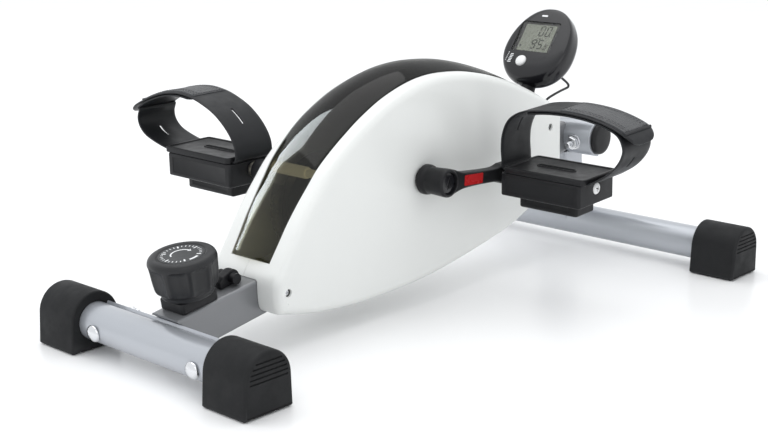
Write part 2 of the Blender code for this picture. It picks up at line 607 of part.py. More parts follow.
def crank_and_pedal(side, sy):
    ang = -CRANK_TILT if sy < 0 else math.pi - CRANK_TILT
    dx, dz = math.cos(ang), math.sin(ang)
    px, pz = CRANK_X + CRANK_R * dx, CRANK_Z + CRANK_R * dz
    place = along((CRANK_X, 0, CRANK_Z), (0, sy, 0), **Y_AX)
    hub = turned("crank_arm_" + side,
                 [(0, HUB_OUT), (HUB_R - 1.2, HUB_OUT), (HUB_R, HUB_OUT - 1.2), (HUB_R, 62),
                  (16.0, 61), (16.0, HUB_IN), (0, HUB_IN)], BLACK, place=place, steps=24)
    arm = flat("arm_" + side, [crank_outline(ang, px, pz)], (ARM_OUT - ARM_IN) / 2, coll=CUTTERS,
               centre=sy * (ARM_IN + ARM_OUT) / 2)
    bore = rod("axle_bore_" + side, AXLE_R + GAP, 40, coll=CUTTERS,
               place=along((CRANK_X, sy * 40, CRANK_Z), (0, sy, 0), **Y_AX), seg=24)
    seat = rod("cap_seat_" + side, 11.8, 10, coll=CUTTERS,
               place=along((CRANK_X, sy * (HUB_OUT - 4), CRANK_Z), (0, sy, 0), **Y_AX), seg=24)
    hole = rod("spindle_hole_" + side, 7.0, 60, coll=CUTTERS,
               place=along((px, sy * 60, pz), (0, sy, 0), **Y_AX), seg=20)
    join(hub, arm)
    cut(hub, bore, seat, hole)
    turned("crank_cap_" + side, [(0, 2.0), (8.5, 2.0), (11.4, 1.4), (11.4, 0.3), (0, 0.3)], GLOSSB,
           place=along((CRANK_X, sy * (HUB_OUT - 4), CRANK_Z), (0, sy, 0), **Y_AX), steps=24)

    # spindle: threaded end, wrench collar, long bearing end inside the pedal
    turned("pedal_spindle_" + side,
           [(0, 184), (4.5, 184), (4.5, 172), (6.0, 171), (6.0, 92.6), (8.6, 92.6), (8.6, 88.4), (9.4, 88.2),
            (9.4, 85.0), (6.7, 84.8), (6.7, 72), (0, 72)],
           STEEL, place=along((px, 0, pz), (0, sy, 0), **Y_AX), steps=16)

    # pedal body: wide block over a narrower, shorter keel
    axis = Matrix.Translation(Vector((px, 0, pz)) * MM)
    tilt = axis @ Matrix.Rotation(-TIP[side], 4, "Y") @ axis.inverted()
    y_mid = sy * (PEDAL_IN + PEDAL_LEN / 2)
    block_h = BLOCK_TOP - BLOCK_LOW
    body = box("pedal_body_" + side, (PEDAL_W, PEDAL_LEN, block_h), BLACK,
               place=at(px, y_mid, pz + (BLOCK_TOP + BLOCK_LOW) / 2), bevel=2.2, segments=1)
    keel_h = -KEEL_LOW - 4
    keel = box("pedal_keel_" + side, (34, 74, keel_h), coll=CUTTERS,
               place=at(px, y_mid, pz + KEEL_LOW + keel_h / 2), bevel=2.2, segments=1)
    sp_bore = rod("pedal_bore_" + side, 6.4, PEDAL_LEN + 20, coll=CUTTERS,
                  place=along((px, sy * (PEDAL_IN - 10), pz), (0, sy, 0), **Y_AX), seg=16)
    join(body, keel)
    cut(body, sp_bore)
    # tread: plate with two side rails; the strap runs in the channel under it
    w, low, mid_z, top = PEDAL_W / 2, BLOCK_TOP + GAP, 11.8, TREAD_TOP
    sect = [(px - w, pz + low), (px - w + 4.5, pz + low), (px - w + 4.5, pz + mid_z),
            (px + w - 4.5, pz + mid_z), (px + w - 4.5, pz + low), (px + w, pz + low),
            (px + w, pz + top - 1.6), (px + w - 1.6, pz + top), (px - w + 1.6, pz + top),
            (px - w, pz + top - 1.6)]
    tread = flat("pedal_tread_" + side, [sect], (PEDAL_LEN + 2) / 2, BLACK,
                 centre=sy * (PEDAL_IN + 3 + (PEDAL_LEN + 2) / 2))
    groove = box("tread_groove_" + side, (5, 46, 4), coll=CUTTERS, place=at(px, y_mid, pz + top + 0.6))
    cut(tread, groove)
    # cross-head screw that closes the outer end
    screw = turned("pedal_end_screw_" + side,
                   [(0, 1.6), (3.0, 1.6), (6.2, 0.9), (6.2, 0.3), (5.0, 0.3), (5.0, -4.5), (0, -4.5)], CHROME,
                   place=along((px, sy * (PEDAL_IN + PEDAL_LEN), pz), (0, sy, 0), **Y_AX), steps=16)

    path = catmull(strap_path(side), 2)
    left = offset(path, STRAP_T / 2, closed=False)
    right = offset(path, -STRAP_T / 2, closed=False)
    loop = [(sy * y, pz + z) for y, z in left + right[::-1]]
    strap = flat("pedal_strap_" + side, [loop], STRAP_W / 2, WEB, plane="YZ", centre=px)
    for ob in (body, keel, sp_bore, tread, groove, screw, strap):
        ob.matrix_world = tilt @ ob.matrix_world


crank_and_pedal("right", -1)
crank_and_pedal("left", 1)

# ---------------------------------------------------------------- housing
# upper edge of the side view, from the bottom of the window to the rear tip
TOP_LINE = [(-209.1, 84.9), (-197.7, 102.6), (-187.3, 119.0), (-174.7, 136.0), (-160.5, 153.1),
            (-147.0, 168.7), (-128.6, 184.5), (-109.1, 198.8), (-89.1, 211.3), (-63.6, 224.4),
            (-41.1, 233.0), (-20.0, 239.1), (1.6, 243.2), (27.5, 244.9), (61.8, 243.3), (89.4, 239.3),
            (117.7, 233.0), (147.0, 224.6), (173.3, 215.3), (199.5, 204.4), (229.5, 190.6)]
FRONT_LINE = [(-207.5, 36.0), (-213.5, 37.5), (-217.0, 44.0), (-218.5, 60.0), (-217.5, 72.0)]
REAR_LINE = [(241.0, 183.5), (246.5, 174.0), (247.5, 160.0), (248.5, 140.0), (249.0, 118.0), (245.0, 104.0),
             (232.0, 91.0), (212.0, 78.5)]
LOW_LINE = [(186.0, 67.5), (160.0, 57.0), (130.0, 49.0), (95.0, 41.5), (55.0, 34.0), (15.0, 28.0),
            (-25.0, 24.2), (-65.0, 22.4), (-105.0, 22.2), (-145.0, 25.0), (-178.0, 29.5)]
OUTLINE = FRONT_LINE + TOP_LINE + REAR_LINE + LOW_LINE


def slab(name, pts, half, rounding):
    ob = flat(name, [pts], half, coll=CUTTERS)
    add_bevel(ob, rounding, 3, angle=60)
    return ob


def window_half_width(s):
    """Half width of the window band, s from 0 (front) to 1 (rear tip)."""
    if s < 0.30:
        return 27.0 + 6.0 * (s / 0.30)
    if s > 0.90:
        return 33.0 - 5.0 * (s - 0.90) / 0.10
    return 33.0


def window_shift(s):
    """The band reaches further over the left half than over the right."""
    f = min(1.0, max(0.0, (s - 0.08) / 0.27))
    return 3.0 * f * f * (3 - 2 * f)


def window_grid(name, grow, crown, mat, coll, end_grow=0.0):
    """Curved strip that follows the upper edge of the housing."""
    line = catmull(TOP_LINE, 1)
    n = len(line)
    cols = 6
    bm = bmesh.new()
    rows = []
    for i, (x, z) in enumerate(line):
        a = line[max(i - 1, 0)]
        b = line[min(i + 1, n - 1)]
        t = Vector((b[0] - a[0], b[1] - a[1])).normalized()
        nx, nz = -t.y, t.x
        e = 0.0
        if i == 0:
            e = -end_grow
        if i == n - 1:
            e = end_grow
        s = i / (n - 1)
        w = window_half_width(s) + grow
        h = crown * math.sin(math.pi * min(1.0, 0.16 + 0.68 * s)) if crown else 0.0
        row = []
        for k in range(cols + 1):
            u = -1 + 2 * k / cols
            d = h * (1 - u * u)
            side = window_shift(s)
            row.append(bm.verts.new(((x + t.x * e + nx * d) * MM, (side + u * (w + side)) * MM,
                                     (z + t.y * e + nz * d) * MM)))
        rows.append(row)
    for r0, r1 in zip(rows, rows[1:]):
        for k in range(cols):
            bm.faces.new((r0[k], r0[k + 1], r1[k + 1], r1[k]))
    bmesh.ops.recalc_face_normals(bm, faces=bm.faces)
    up = sum((f.normal.z for f in bm.faces))
    if up < 0:
        bmesh.ops.reverse_faces(bm, faces=bm.faces)
    return from_bm(name, bm, mat, coll)


window = window_grid("smoked_window", 0.0, 10.5, SMOKE, PARTS)
so = window.modifiers.new("thickness", "SOLIDIFY")
so.thickness = SHELL_WALL * MM
so.offset = -1.0
smooth(window)
band = window_grid("window_band", 0.4, 0.0, None, CUTTERS, end_grow=0.4)
so = band.modifiers.new("thickness", "SOLIDIFY")
so.thickness = 36 * MM
so.offset = 0.5

tube_way = box("tube_way", (560, MAIN_SQ + 1, MAIN_SQ + 1), coll=CUTTERS,
               place=at(*on_tube(350, 0, 0), TUBE_ROT))
axle_way = rod("axle_way", 12.0, 140, coll=CUTTERS,
               place=along((CRANK_X, -70, CRANK_Z), (0, 1, 0), **Y_AX), seg=32)
SCREWS = {"front": (-205.0, 58.7), "rear": (220.6, 162.8)}
SPACER = (-129.0, 157.0)

for side, sy in (("right", -1), ("left", 1)):
    shell = flat("housing_shell_" + side, [OUTLINE], SHELL_HALF, WHITE)
    add_bevel(shell, SHELL_ROUND, 3, angle=60)
    hollow = slab("housing_hollow_" + side, offset(OUTLINE, -SHELL_WALL), SHELL_HALF - SHELL_WALL,
                  SHELL_ROUND - SHELL_WALL)
    other = box("half_" + side, (800, 200, 400), coll=CUTTERS, place=at(0, -sy * (100 - 0.15), 150))
    cut(shell, hollow)
    # screw columns moulded with each shell
    if side == "left":
        col = rod("column_spacer_left", 6.2, 47.4, coll=CUTTERS,
                  place=along((SPACER[0], 0.3, SPACER[1]), (0, 1, 0), **Y_AX), seg=20)
        colr = rod("column_rear_left", 5.0, 46.2, coll=CUTTERS,
                   place=along((SCREWS["rear"][0], 1.5, SCREWS["rear"][1]), (0, 1, 0), **Y_AX), seg=16)
        colb = rod("column_rear_bore", 2.3, 22, coll=CUTTERS,
                   place=along((SCREWS["rear"][0], -2, SCREWS["rear"][1]), (0, 1, 0), **Y_AX), seg=12)
        join(shell, col, colr)
        cut(shell, colb)
    else:
        col = rod("column_spacer_right", 4.4, 47.6, coll=CUTTERS,
                  place=along((SPACER[0], 0, SPACER[1]), (0, -1, 0), **Y_AX), seg=20)
        join(shell, col)
        for k, (sx, sz) in SCREWS.items():
            h = rod("screw_hole_" + k, 3.9, 20, coll=CUTTERS,
                    place=along((sx, -60, sz), (0, 1, 0), **Y_AX), seg=20)
            cut(shell, h)
    cut(shell, other, band, tube_way, axle_way)

for k, (sx, sz) in SCREWS.items():
    end = 20.5 if k == "front" else -14.0
    turned("housing_screw_" + k,
           [(0, 47.6), (2.6, 47.6), (3.5, 46.9), (3.5, 44.0), (1.9, 43.2), (1.9, end), (0, end)], CHROME,
           place=along((sx, 0, sz), (0, -1, 0), **Y_AX), steps=16)

# ---------------------------------------------------------------- tension knob
base_top = 11.0
kb = box("knob_base", (44, 34, base_top - GAP), BLACK,
         place=at(*on_tube(KNOB_S, 0, MAIN_SQ / 2 + GAP + (base_top - GAP) / 2), TUBE_ROT), bevel=2, segments=1)
stub = rod("knob_stub", 5.0, 24, coll=CUTTERS, place=along(on_tube(KNOB_S, 0, MAIN_SQ / 2 + 8), TN), seg=20)
way = rod("knob_cable_way", 3.0, 30, coll=CUTTERS, place=along(on_tube(KNOB_S, 0, MAIN_SQ / 2 - 6), TN), seg=16)
join(kb, stub)
KN = MAIN_SQ / 2 + base_top + GAP
turned("tension_knob",
       [(0, 39.4), (23.5, 39.4), (23.5, 40.4), (29.5, 40.4), (32.4, 37.5), (33.0, 33.0), (31.5, 18.0),
        (29.5, 5.0), (28.0, 0.3), (5.5, 0.3), (5.5, 22.0), (0, 22.0)],
       BLACK, place=along(on_tube(KNOB_S, 0, KN), TN), steps=32)

# tether eyelet behind the knob, on top of the tube
eye_s = (Vector((-236.0, 0, 0)) - Vector((MAIN_P[0], 0, 0))).dot(Vector((1, 0, 0))) / math.cos(SLOPE)
n0 = MAIN_SQ / 2 + GAP


def tube_pts(pts):
    return [(on_tube(s, 0, n)[0], on_tube(s, 0, n)[2]) for s, n in pts]


lug = [(eye_s - 13, n0), (eye_s + 13, n0), (eye_s + 13, n0 + 4)] \
    + [(eye_s + 4 + 8.6 * math.cos(a), n0 + 6.5 + 8.6 * math.sin(a) * 0.95)
       for a in [math.radians(0 + 15 * i) for i in range(9)]] \
    + [(eye_s - 13, n0 + 7)]
ring_hole = [(eye_s + 3 + 4.0 * math.cos(a), n0 + 7 + 4.0 * math.sin(a))
             for a in [2 * math.pi * i / 16 for i in range(16)]]
flat("tether_eyelet", [tube_pts(lug), tube_pts(ring_hole)], 5.0, BLACK)

# ---------------------------------------------------------------- display console
CU = Vector((math.sin(CONSOLE_TILT), 0, math.cos(CONSOLE_TILT)))       # up the face
CN = Vector((-math.cos(CONSOLE_TILT), 0, math.sin(CONSOLE_TILT)))      # out of the face
CR = CU.cross(CN)                                                      # across
CONSOLE_ROT = Matrix((CR, CU, CN)).transposed()
CC = Vector(CONSOLE_C)


def console(u, v, n, rot=None):
    """Placement in the console: u across, v up the face, n out of it."""
    p = CC + CR * u + CU * v + CN * n
    m = at(p.x, p.y, p.z, CONSOLE_ROT)
    return m @ rot.to_4x4() if rot is not None else m


def egg(w, h, n=28):
    """Oval outline, a little fuller at its lower end."""
    out = []
    for i in range(n):
        a = 2 * math.pi * i / n
        k = 2.16
        c, s = math.cos(a), math.sin(a)
        r = (abs(c) ** k + abs(s) ** k) ** (-1 / k)
        x, y = r * c, r * s
        out.append((x * w / 2 * (1 - 0.10 * y), y * h / 2))
    return out


def console_plate(name, w, h, n0, n1, mat, coll, rounding):
    ob = flat(name, [egg(w, h)], (n1 - n0) / 2, mat, coll, plane="XY")
    ob.matrix_world = console(0, 0, (n0 + n1) / 2)
    if rounding:
        add_bevel(ob, rounding, 2, angle=60)
    return ob


front = console_plate("console_front", CONSOLE_W, CONSOLE_H, -17.0, 0.0, BLACK, PARTS, 3.0)
lens_seat = box("lens_seat", (55, 41, 6), coll=CUTTERS, place=console(-5, 9, 0.8))
button_hole = rod("button_hole", 7.3, 13, coll=CUTTERS, place=console(-11.5, -25, -8.8), seg=24)
front_hollow = console_plate("front_hollow", CONSOLE_W - 9, CONSOLE_H - 12, -20.0, -6.5, None, CUTTERS, 0)
# chin: the lower border falls away from the face
chin = box("chin", (140, 40, 20), coll=CUTTERS,
           place=console(0, -37.5, 0.0) @ Matrix.Rotation(math.radians(42), 4, "X") @ Matrix.Translation((0, -0.012, 0.010)))
cut(front, front_hollow, lens_seat, button_hole, chin)
back = console_plate("console_back", CONSOLE_W - 2, CONSOLE_H - 2, -31.0, -17.3, BLACK, PARTS, 11.0)
# hollow for the electronics, open to the front
hollow = console_plate("console_hollow", CONSOLE_W - 30, CONSOLE_H - 30, -26.0, -14.0, None, CUTTERS, 0)
cut(back, hollow)
# stalk from the back of the console down to the rear of the housing
stalk = pipe("console_stalk",
             catmull([tuple(CC + CU * -26 + CN * -24), (248.0, 0.0, 208.0), (241.5, 0.0, 200.5),
                      (236.0, 0.0, 193.5)], 3), 8.5, coll=CUTTERS, res=3)
housing_clear = slab("housing_clear", offset(OUTLINE, 1.6), SHELL_HALF + 2, 4)
face_clear = box("face_clear", (140, 140, 20), coll=CUTTERS, place=console(0, 0, -17.3 + 10))
join(back, stalk)
cut(back, housing_clear, face_clear)
box("console_lens", (54.2, 40.2, 1.8), LCD, place=console(-5, 9, -1.0))
turned("console_button", [(0, 2.0), (5.0, 2.0), (6.9, 1.0), (6.9, -4.5), (0, -4.5)], WHITE,
       place=console(-11.5, -25, 0), steps=24)
pipe("console_lead",
     catmull([tuple(CC + CU * -21 + CN * -31.8 + Vector((0, -20, 0))), tuple(CC + CU * -21 + CN * -36.5 + Vector((0, -20, 0))),
              (283.0, -19.5, 210.6), (291.0, -19.5, 206.0), (297.2, -19.5, 201.8), (298.4, -19.5, 199.6),
              (297.0, -19.5, 197.6), (289.0, -19.0, 196.0), (278.5, -18.5, 193.8), (261.0, -17.0, 188.6),
              (253.0, -15.0, 182.0), (249.0, -13.0, 174.0)], 3), 1.5, BLACK)

bpy.context.view_layer.update()
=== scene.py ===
import bpy
import bmesh
import json
import math
from mathutils import Matrix, Vector


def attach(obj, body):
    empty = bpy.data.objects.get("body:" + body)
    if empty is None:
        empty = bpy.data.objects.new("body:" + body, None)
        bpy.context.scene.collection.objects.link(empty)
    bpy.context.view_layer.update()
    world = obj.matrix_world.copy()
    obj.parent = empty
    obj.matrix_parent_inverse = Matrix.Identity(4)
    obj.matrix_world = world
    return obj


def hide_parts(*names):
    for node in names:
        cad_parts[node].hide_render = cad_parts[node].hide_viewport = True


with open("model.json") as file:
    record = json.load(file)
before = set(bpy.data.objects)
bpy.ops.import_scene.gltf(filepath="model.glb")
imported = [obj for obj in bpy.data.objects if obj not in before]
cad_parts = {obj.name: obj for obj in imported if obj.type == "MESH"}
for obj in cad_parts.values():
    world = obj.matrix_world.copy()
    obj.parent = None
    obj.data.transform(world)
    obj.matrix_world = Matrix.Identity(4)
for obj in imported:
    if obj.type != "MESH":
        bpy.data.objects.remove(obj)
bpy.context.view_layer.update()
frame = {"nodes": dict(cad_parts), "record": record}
NODES = frame["nodes"]
MM = 0.001
ROLL = -0.26
COLL = bpy.context.scene.collection

# ------------------------------------------------------------------ sizes, in mm, as in the CAD
STAB_R, STAB_Z, FRONT_X, REAR_X = 19.0, 28.5, -326.0, 326.0
FRONT_WIDTH, REAR_WIDTH = 300.0, 508.0
CAP_LEN, CAP_W = 56.0, 58.0
SLOPE = math.radians(9.6)
MAIN_SQ = 38.0
MAIN_P = (-304.0, 34.6)
CROSS_X, CROSS_Z, CROSS_HALF = 315.0, 137.0, 62.0
FRONT_SADDLE_HALF, REAR_SADDLE_HALF = 91.0, 56.0
FRONT_BOLT_Y, REAR_BOLT_Y = 72.0, 35.0
CRANK_X, CRANK_Z, CRANK_R = -9.3, 139.5, 109.0
CRANK_TILT = math.radians(3.4)
HUB_R, HUB_IN, HUB_OUT, ARM_IN, ARM_OUT = 15.0, 53.5, 87.0, 71.5, 84.5
PEDAL_IN, PEDAL_LEN, PEDAL_W = 93.5, 101.0, 64.0
STRAP_W, STRAP_T = 52.0, 2.0
TREAD_TOP, BLOCK_TOP, BLOCK_LOW, KEEL_LOW = 15.6, 9.0, -16.0, -30.5
TIP = {"right": math.radians(3.0), "left": math.radians(1.5)}
SHELL_HALF, SHELL_WALL, SHELL_ROUND = 49.0, 2.5, 10.0
KNOB_S = 21.3
CONSOLE_C = (256.5, 0.0, 253.0)
CONSOLE_TILT = math.radians(37.0)
CONSOLE_W, CONSOLE_H = 90.0, 101.0

TD = Vector((math.cos(SLOPE), 0, math.sin(SLOPE)))
TN = Vector((-math.sin(SLOPE), 0, math.cos(SLOPE)))
TUBE_ROT = Matrix((TD, Vector((0, 1, 0)), TN)).transposed()
CU = Vector((math.sin(CONSOLE_TILT), 0, math.cos(CONSOLE_TILT)))
CN = Vector((-math.cos(CONSOLE_TILT), 0, math.sin(CONSOLE_TILT)))
CR = CU.cross(CN)
CC = Vector(CONSOLE_C)


def on_tube(s, y, n):
    v = Vector((MAIN_P[0], 0, MAIN_P[1])) + TD * s + TN * n
    return Vector((v.x, y, v.z))


def con(u, v, n):
    return CC + CR * u + CU * v + CN * n


# ------------------------------------------------------------------ materials
def nodes_of(name):
    m = bpy.data.materials.new(name)
    m.use_nodes = True
    nt = m.node_tree
    return m, nt, nt.nodes["Principled BSDF"]


def add(nt, kind, **kw):
    n = nt.nodes.new(kind)
    for k, v in kw.items():
        if hasattr(n, k):
            setattr(n, k, v)
        else:
            n.inputs[k].default_value = v
    return n


def noise(nt, coord, scale, detail=3.0, rough=0.55):
    n = nt.nodes.new("ShaderNodeTexNoise")
    n.inputs["Scale"].default_value = scale
    n.inputs["Detail"].default_value = detail
    n.inputs["Roughness"].default_value = rough
    nt.links.new(coord, n.inputs["Vector"])
    return n


def ramp(nt, fac, lo, hi, c0, c1):
    r = nt.nodes.new("ShaderNodeValToRGB")
    r.color_ramp.elements[0].position = lo
    r.color_ramp.elements[1].position = hi
    r.color_ramp.elements[0].color = c0
    r.color_ramp.elements[1].color = c1
    nt.links.new(fac, r.inputs["Fac"])
    return r


def maprange(nt, val, a, b, c, d):
    r = nt.nodes.new("ShaderNodeMapRange")
    r.inputs["From Min"].default_value = a
    r.inputs["From Max"].default_value = b
    r.inputs["To Min"].default_value = c
    r.inputs["To Max"].default_value = d
    nt.links.new(val, r.inputs["Value"])
    return r


def surface(name, color, rough, vary=0.06, rvary=0.05, grain=900.0, grain_h=0.02, broad=9.0,
            metal=0.0, coat=0.0, coat_rough=0.1, spec=0.5, wear=0.0, sheen=0.0, stretch=None,
            grain_detail=2.0, tint=(1, 1, 1)):
    """Painted, moulded or machined surface: broad colour drift, fine grain in
    the bump, roughness that wanders, and lighter worn edges."""
    m, nt, p = nodes_of(name)
    tc = nt.nodes.new("ShaderNodeTexCoord")
    vec = tc.outputs["Object"]
    if stretch:
        mp = nt.nodes.new("ShaderNodeMapping")
        mp.inputs["Scale"].default_value = stretch
        nt.links.new(vec, mp.inputs["Vector"])
        fine_vec = mp.outputs["Vector"]
    else:
        fine_vec = vec
    big = noise(nt, vec, broad, 4.0, 0.6)
    c = Vector(color)
    dark = [max(0.0, x * (1 - vary)) for x in c]
    light = [min(1.0, x * (1 + vary) * t) for x, t in zip(c, tint)]
    cr = ramp(nt, big.outputs["Fac"], 0.30, 0.70, (*dark, 1), (*light, 1))
    out = cr.outputs["Color"]
    if wear:
        geo = nt.nodes.new("ShaderNodeNewGeometry")
        edge = maprange(nt, geo.outputs["Pointiness"], 0.52, 0.58, 0.0, wear)
        mix = nt.nodes.new("ShaderNodeMix")
        mix.data_type = "RGBA"
        nt.links.new(edge.outputs["Result"], mix.inputs["Factor"])
        nt.links.new(out, mix.inputs["A"])
        mix.inputs["B"].default_value = (*[min(1.0, x * 1.8 + 0.03) for x in color], 1)
        out = mix.outputs["Result"]
    nt.links.new(out, p.inputs["Base Color"])
    mid = noise(nt, vec, broad * 9, 3.0)
    rr = maprange(nt, mid.outputs["Fac"], 0.3, 0.7, max(0.02, rough - rvary), min(1.0, rough + rvary))
    nt.links.new(rr.outputs["Result"], p.inputs["Roughness"])
    fine = noise(nt, fine_vec, grain, grain_detail, 0.6)
    bump = nt.nodes.new("ShaderNodeBump")
    bump.inputs["Strength"].default_value = 0.6
    bump.inputs["Distance"].default_value = grain_h * MM
    nt.links.new(fine.outputs["Fac"], bump.inputs["Height"])
    nt.links.new(bump.outputs["Normal"], p.inputs["Normal"])
    p.inputs["Metallic"].default_value = metal
    p.inputs["Specular IOR Level"].default_value = spec
    p.inputs["Coat Weight"].default_value = coat
    p.inputs["Coat Roughness"].default_value = coat_rough
    p.inputs["Sheen Weight"].default_value = sheen
    return m


WHITE = surface("white_shell", (0.77, 0.782, 0.765), 0.30, vary=0.008, rvary=0.02, grain=1500, grain_h=0.003,
                coat=0.25, coat_rough=0.12, spec=0.45)
WHITE_IN = surface("white_boss", (0.74, 0.75, 0.72), 0.45, vary=0.03, grain=500, grain_h=0.02)
COLUMN_PAINTED_GLOW = surface("pale_column_painted_glow", (0.80, 0.77, 0.66), 0.5, vary=0.03, grain=500, grain_h=0.02)
# painted light: the column glows so it reads pale through the smoked window
COLUMN_PAINTED_GLOW.node_tree.nodes["Principled BSDF"].inputs["Emission Color"].default_value = (0.90, 0.84, 0.66, 1)
COLUMN_PAINTED_GLOW.node_tree.nodes["Principled BSDF"].inputs["Emission Strength"].default_value = 0.55
SILVER = surface("silver_enamel", (0.43, 0.45, 0.485), 0.30, vary=0.03, rvary=0.02, grain=2600, grain_h=0.004,
                 metal=0.45, coat=0.5, coat_rough=0.10)
GREY = surface("grey_enamel", (0.20, 0.205, 0.215), 0.36, vary=0.03, rvary=0.03, grain=2400, grain_h=0.008,
               metal=0.35, coat=0.25, coat_rough=0.2)
RUBBER = surface("moulded_rubber", (0.013, 0.0135, 0.0145), 0.60, vary=0.22, rvary=0.08, grain=1300, grain_h=0.05,
                 spec=0.20, wear=0.30)
BLACK = surface("satin_black_plastic", (0.010, 0.0102, 0.0115), 0.40, vary=0.15, rvary=0.06, grain=1700, grain_h=0.03,
                spec=0.22, wear=0.20)
KNOBM = surface("knob_soft_plastic", (0.012, 0.0125, 0.014), 0.42, vary=0.18, rvary=0.06, grain=1500, grain_h=0.03,
                spec=0.38, wear=0.22)
GLOSSB = surface("gloss_black_plastic", (0.007, 0.007, 0.009), 0.22, vary=0.10, rvary=0.03, grain=300, grain_h=0.004,
                 coat=0.25, coat_rough=0.06, spec=0.35)
DISC = surface("dial_print_ground", (0.022, 0.024, 0.026), 0.38, vary=0.15, grain=1600, grain_h=0.02)
PRINT = surface("white_print", (0.78, 0.79, 0.80), 0.5, vary=0.04, grain=900, grain_h=0.01)
RED = surface("red_label_film", (0.42, 0.012, 0.014), 0.28, vary=0.06, grain=500, grain_h=0.006, coat=0.5)
ZINC = surface("bright_zinc", (0.72, 0.73, 0.75), 0.20, vary=0.05, rvary=0.06, grain=900, grain_h=0.01, metal=1.0)
NUTM = surface("dull_zinc", (0.38, 0.36, 0.31), 0.30, vary=0.12, rvary=0.08, grain=900, grain_h=0.02, metal=1.0)
STEEL = surface("turned_steel", (0.45, 0.45, 0.46), 0.30, vary=0.06, rvary=0.06, grain=700, grain_h=0.015, metal=1.0,
                stretch=(1, 0.02, 1))
IRON = surface("turned_iron", (0.12, 0.12, 0.125), 0.42, vary=0.10, grain=600, grain_h=0.02, metal=0.8)
BELT = surface("belt_rubber", (0.025, 0.025, 0.026), 0.7, vary=0.2, grain=1200, grain_h=0.05)
STRAP = surface("strap_vinyl", (0.012, 0.0128, 0.0145), 0.44, vary=0.18, rvary=0.07, grain=1100, grain_h=0.05, spec=0.24,
                wear=0.2)
THREAD = surface("stitch_thread", (0.010, 0.010, 0.012), 0.8, vary=0.2, grain=2500, grain_h=0.05)
CABLE = surface("cable_jacket", (0.014, 0.014, 0.015), 0.40, vary=0.12, grain=900, grain_h=0.01)
INK = surface("lcd_ink", (0.008, 0.009, 0.008), 0.6, vary=0.05, grain=600, grain_h=0.004)
BUTTON = surface("button_white", (0.80, 0.80, 0.80), 0.35, vary=0.02, grain=700, grain_h=0.01)
LCD = surface("lcd_panel", (0.185, 0.197, 0.162), 0.28, vary=0.05, grain=400, grain_h=0.004, broad=30.0)


def pad_material():
    """Hook-and-loop pad on the strap: woven ribs with a soft nap."""
    m, nt, p = nodes_of("strap_textile")
    tc = nt.nodes.new("ShaderNodeTexCoord")
    vec = tc.outputs["UV"]
    w = nt.nodes.new("ShaderNodeTexWave")
    w.wave_type = "BANDS"
    w.bands_direction = "DIAGONAL"
    w.inputs["Scale"].default_value = 520.0
    w.inputs["Distortion"].default_value = 3.0
    w.inputs["Detail"].default_value = 2.0
    nt.links.new(vec, w.inputs["Vector"])
    w2 = nt.nodes.new("ShaderNodeTexWave")
    w2.wave_type = "BANDS"
    w2.bands_direction = "X"
    w2.inputs["Scale"].default_value = 460.0
    w2.inputs["Distortion"].default_value = 2.0
    nt.links.new(vec, w2.inputs["Vector"])
    n = noise(nt, vec, 260.0, 4.0)
    mixh = nt.nodes.new("ShaderNodeMath")
    mixh.operation = "MULTIPLY"
    nt.links.new(w.outputs["Fac"], mixh.inputs[0])
    nt.links.new(w2.outputs["Fac"], mixh.inputs[1])
    addh = nt.nodes.new("ShaderNodeMath")
    addh.operation = "ADD"
    nt.links.new(mixh.outputs[0], addh.inputs[0])
    nt.links.new(n.outputs["Fac"], addh.inputs[1])
    cr = ramp(nt, addh.outputs[0], 0.45, 1.15, (0.014, 0.015, 0.017, 1), (0.060, 0.064, 0.070, 1))
    nt.links.new(cr.outputs["Color"], p.inputs["Base Color"])
    b = nt.nodes.new("ShaderNodeBump")
    b.inputs["Strength"].default_value = 0.8
    b.inputs["Distance"].default_value = 0.35 * MM
    nt.links.new(addh.outputs[0], b.inputs["Height"])
    nt.links.new(b.outputs["Normal"], p.inputs["Normal"])
    rr = maprange(nt, n.outputs["Fac"], 0.3, 0.7, 0.62, 0.82)
    nt.links.new(rr.outputs["Result"], p.inputs["Roughness"])
    p.inputs["Sheen Weight"].default_value = 0.25
    return m


PAD = pad_material()


def smoked(name, color, alpha, rough=0.06):
    m, nt, p = nodes_of(name)
    tc = nt.nodes.new("ShaderNodeTexCoord")
    big = noise(nt, tc.outputs["Object"], 7.0, 3.0)
    cr = ramp(nt, big.outputs["Fac"], 0.3, 0.7, (*[x * 0.9 for x in color], 1), (*[x * 1.1 for x in color], 1))
    nt.links.new(cr.outputs["Color"], p.inputs["Base Color"])
    mid = noise(nt, tc.outputs["Object"], 60.0, 2.0)
    rr = maprange(nt, mid.outputs["Fac"], 0.3, 0.7, rough * 0.7, rough * 1.3)
    nt.links.new(rr.outputs["Result"], p.inputs["Roughness"])
    fine = noise(nt, tc.outputs["Object"], 25.0, 2.0)
    b = nt.nodes.new("ShaderNodeBump")
    b.inputs["Strength"].default_value = 0.3
    b.inputs["Distance"].default_value = 0.05 * MM
    nt.links.new(fine.outputs["Fac"], b.inputs["Height"])
    nt.links.new(b.outputs["Normal"], p.inputs["Normal"])
    p.inputs["Alpha"].default_value = alpha
    p.inputs["Coat Weight"].default_value = 0.6
    p.inputs["Coat Roughness"].default_value = 0.04
    return m


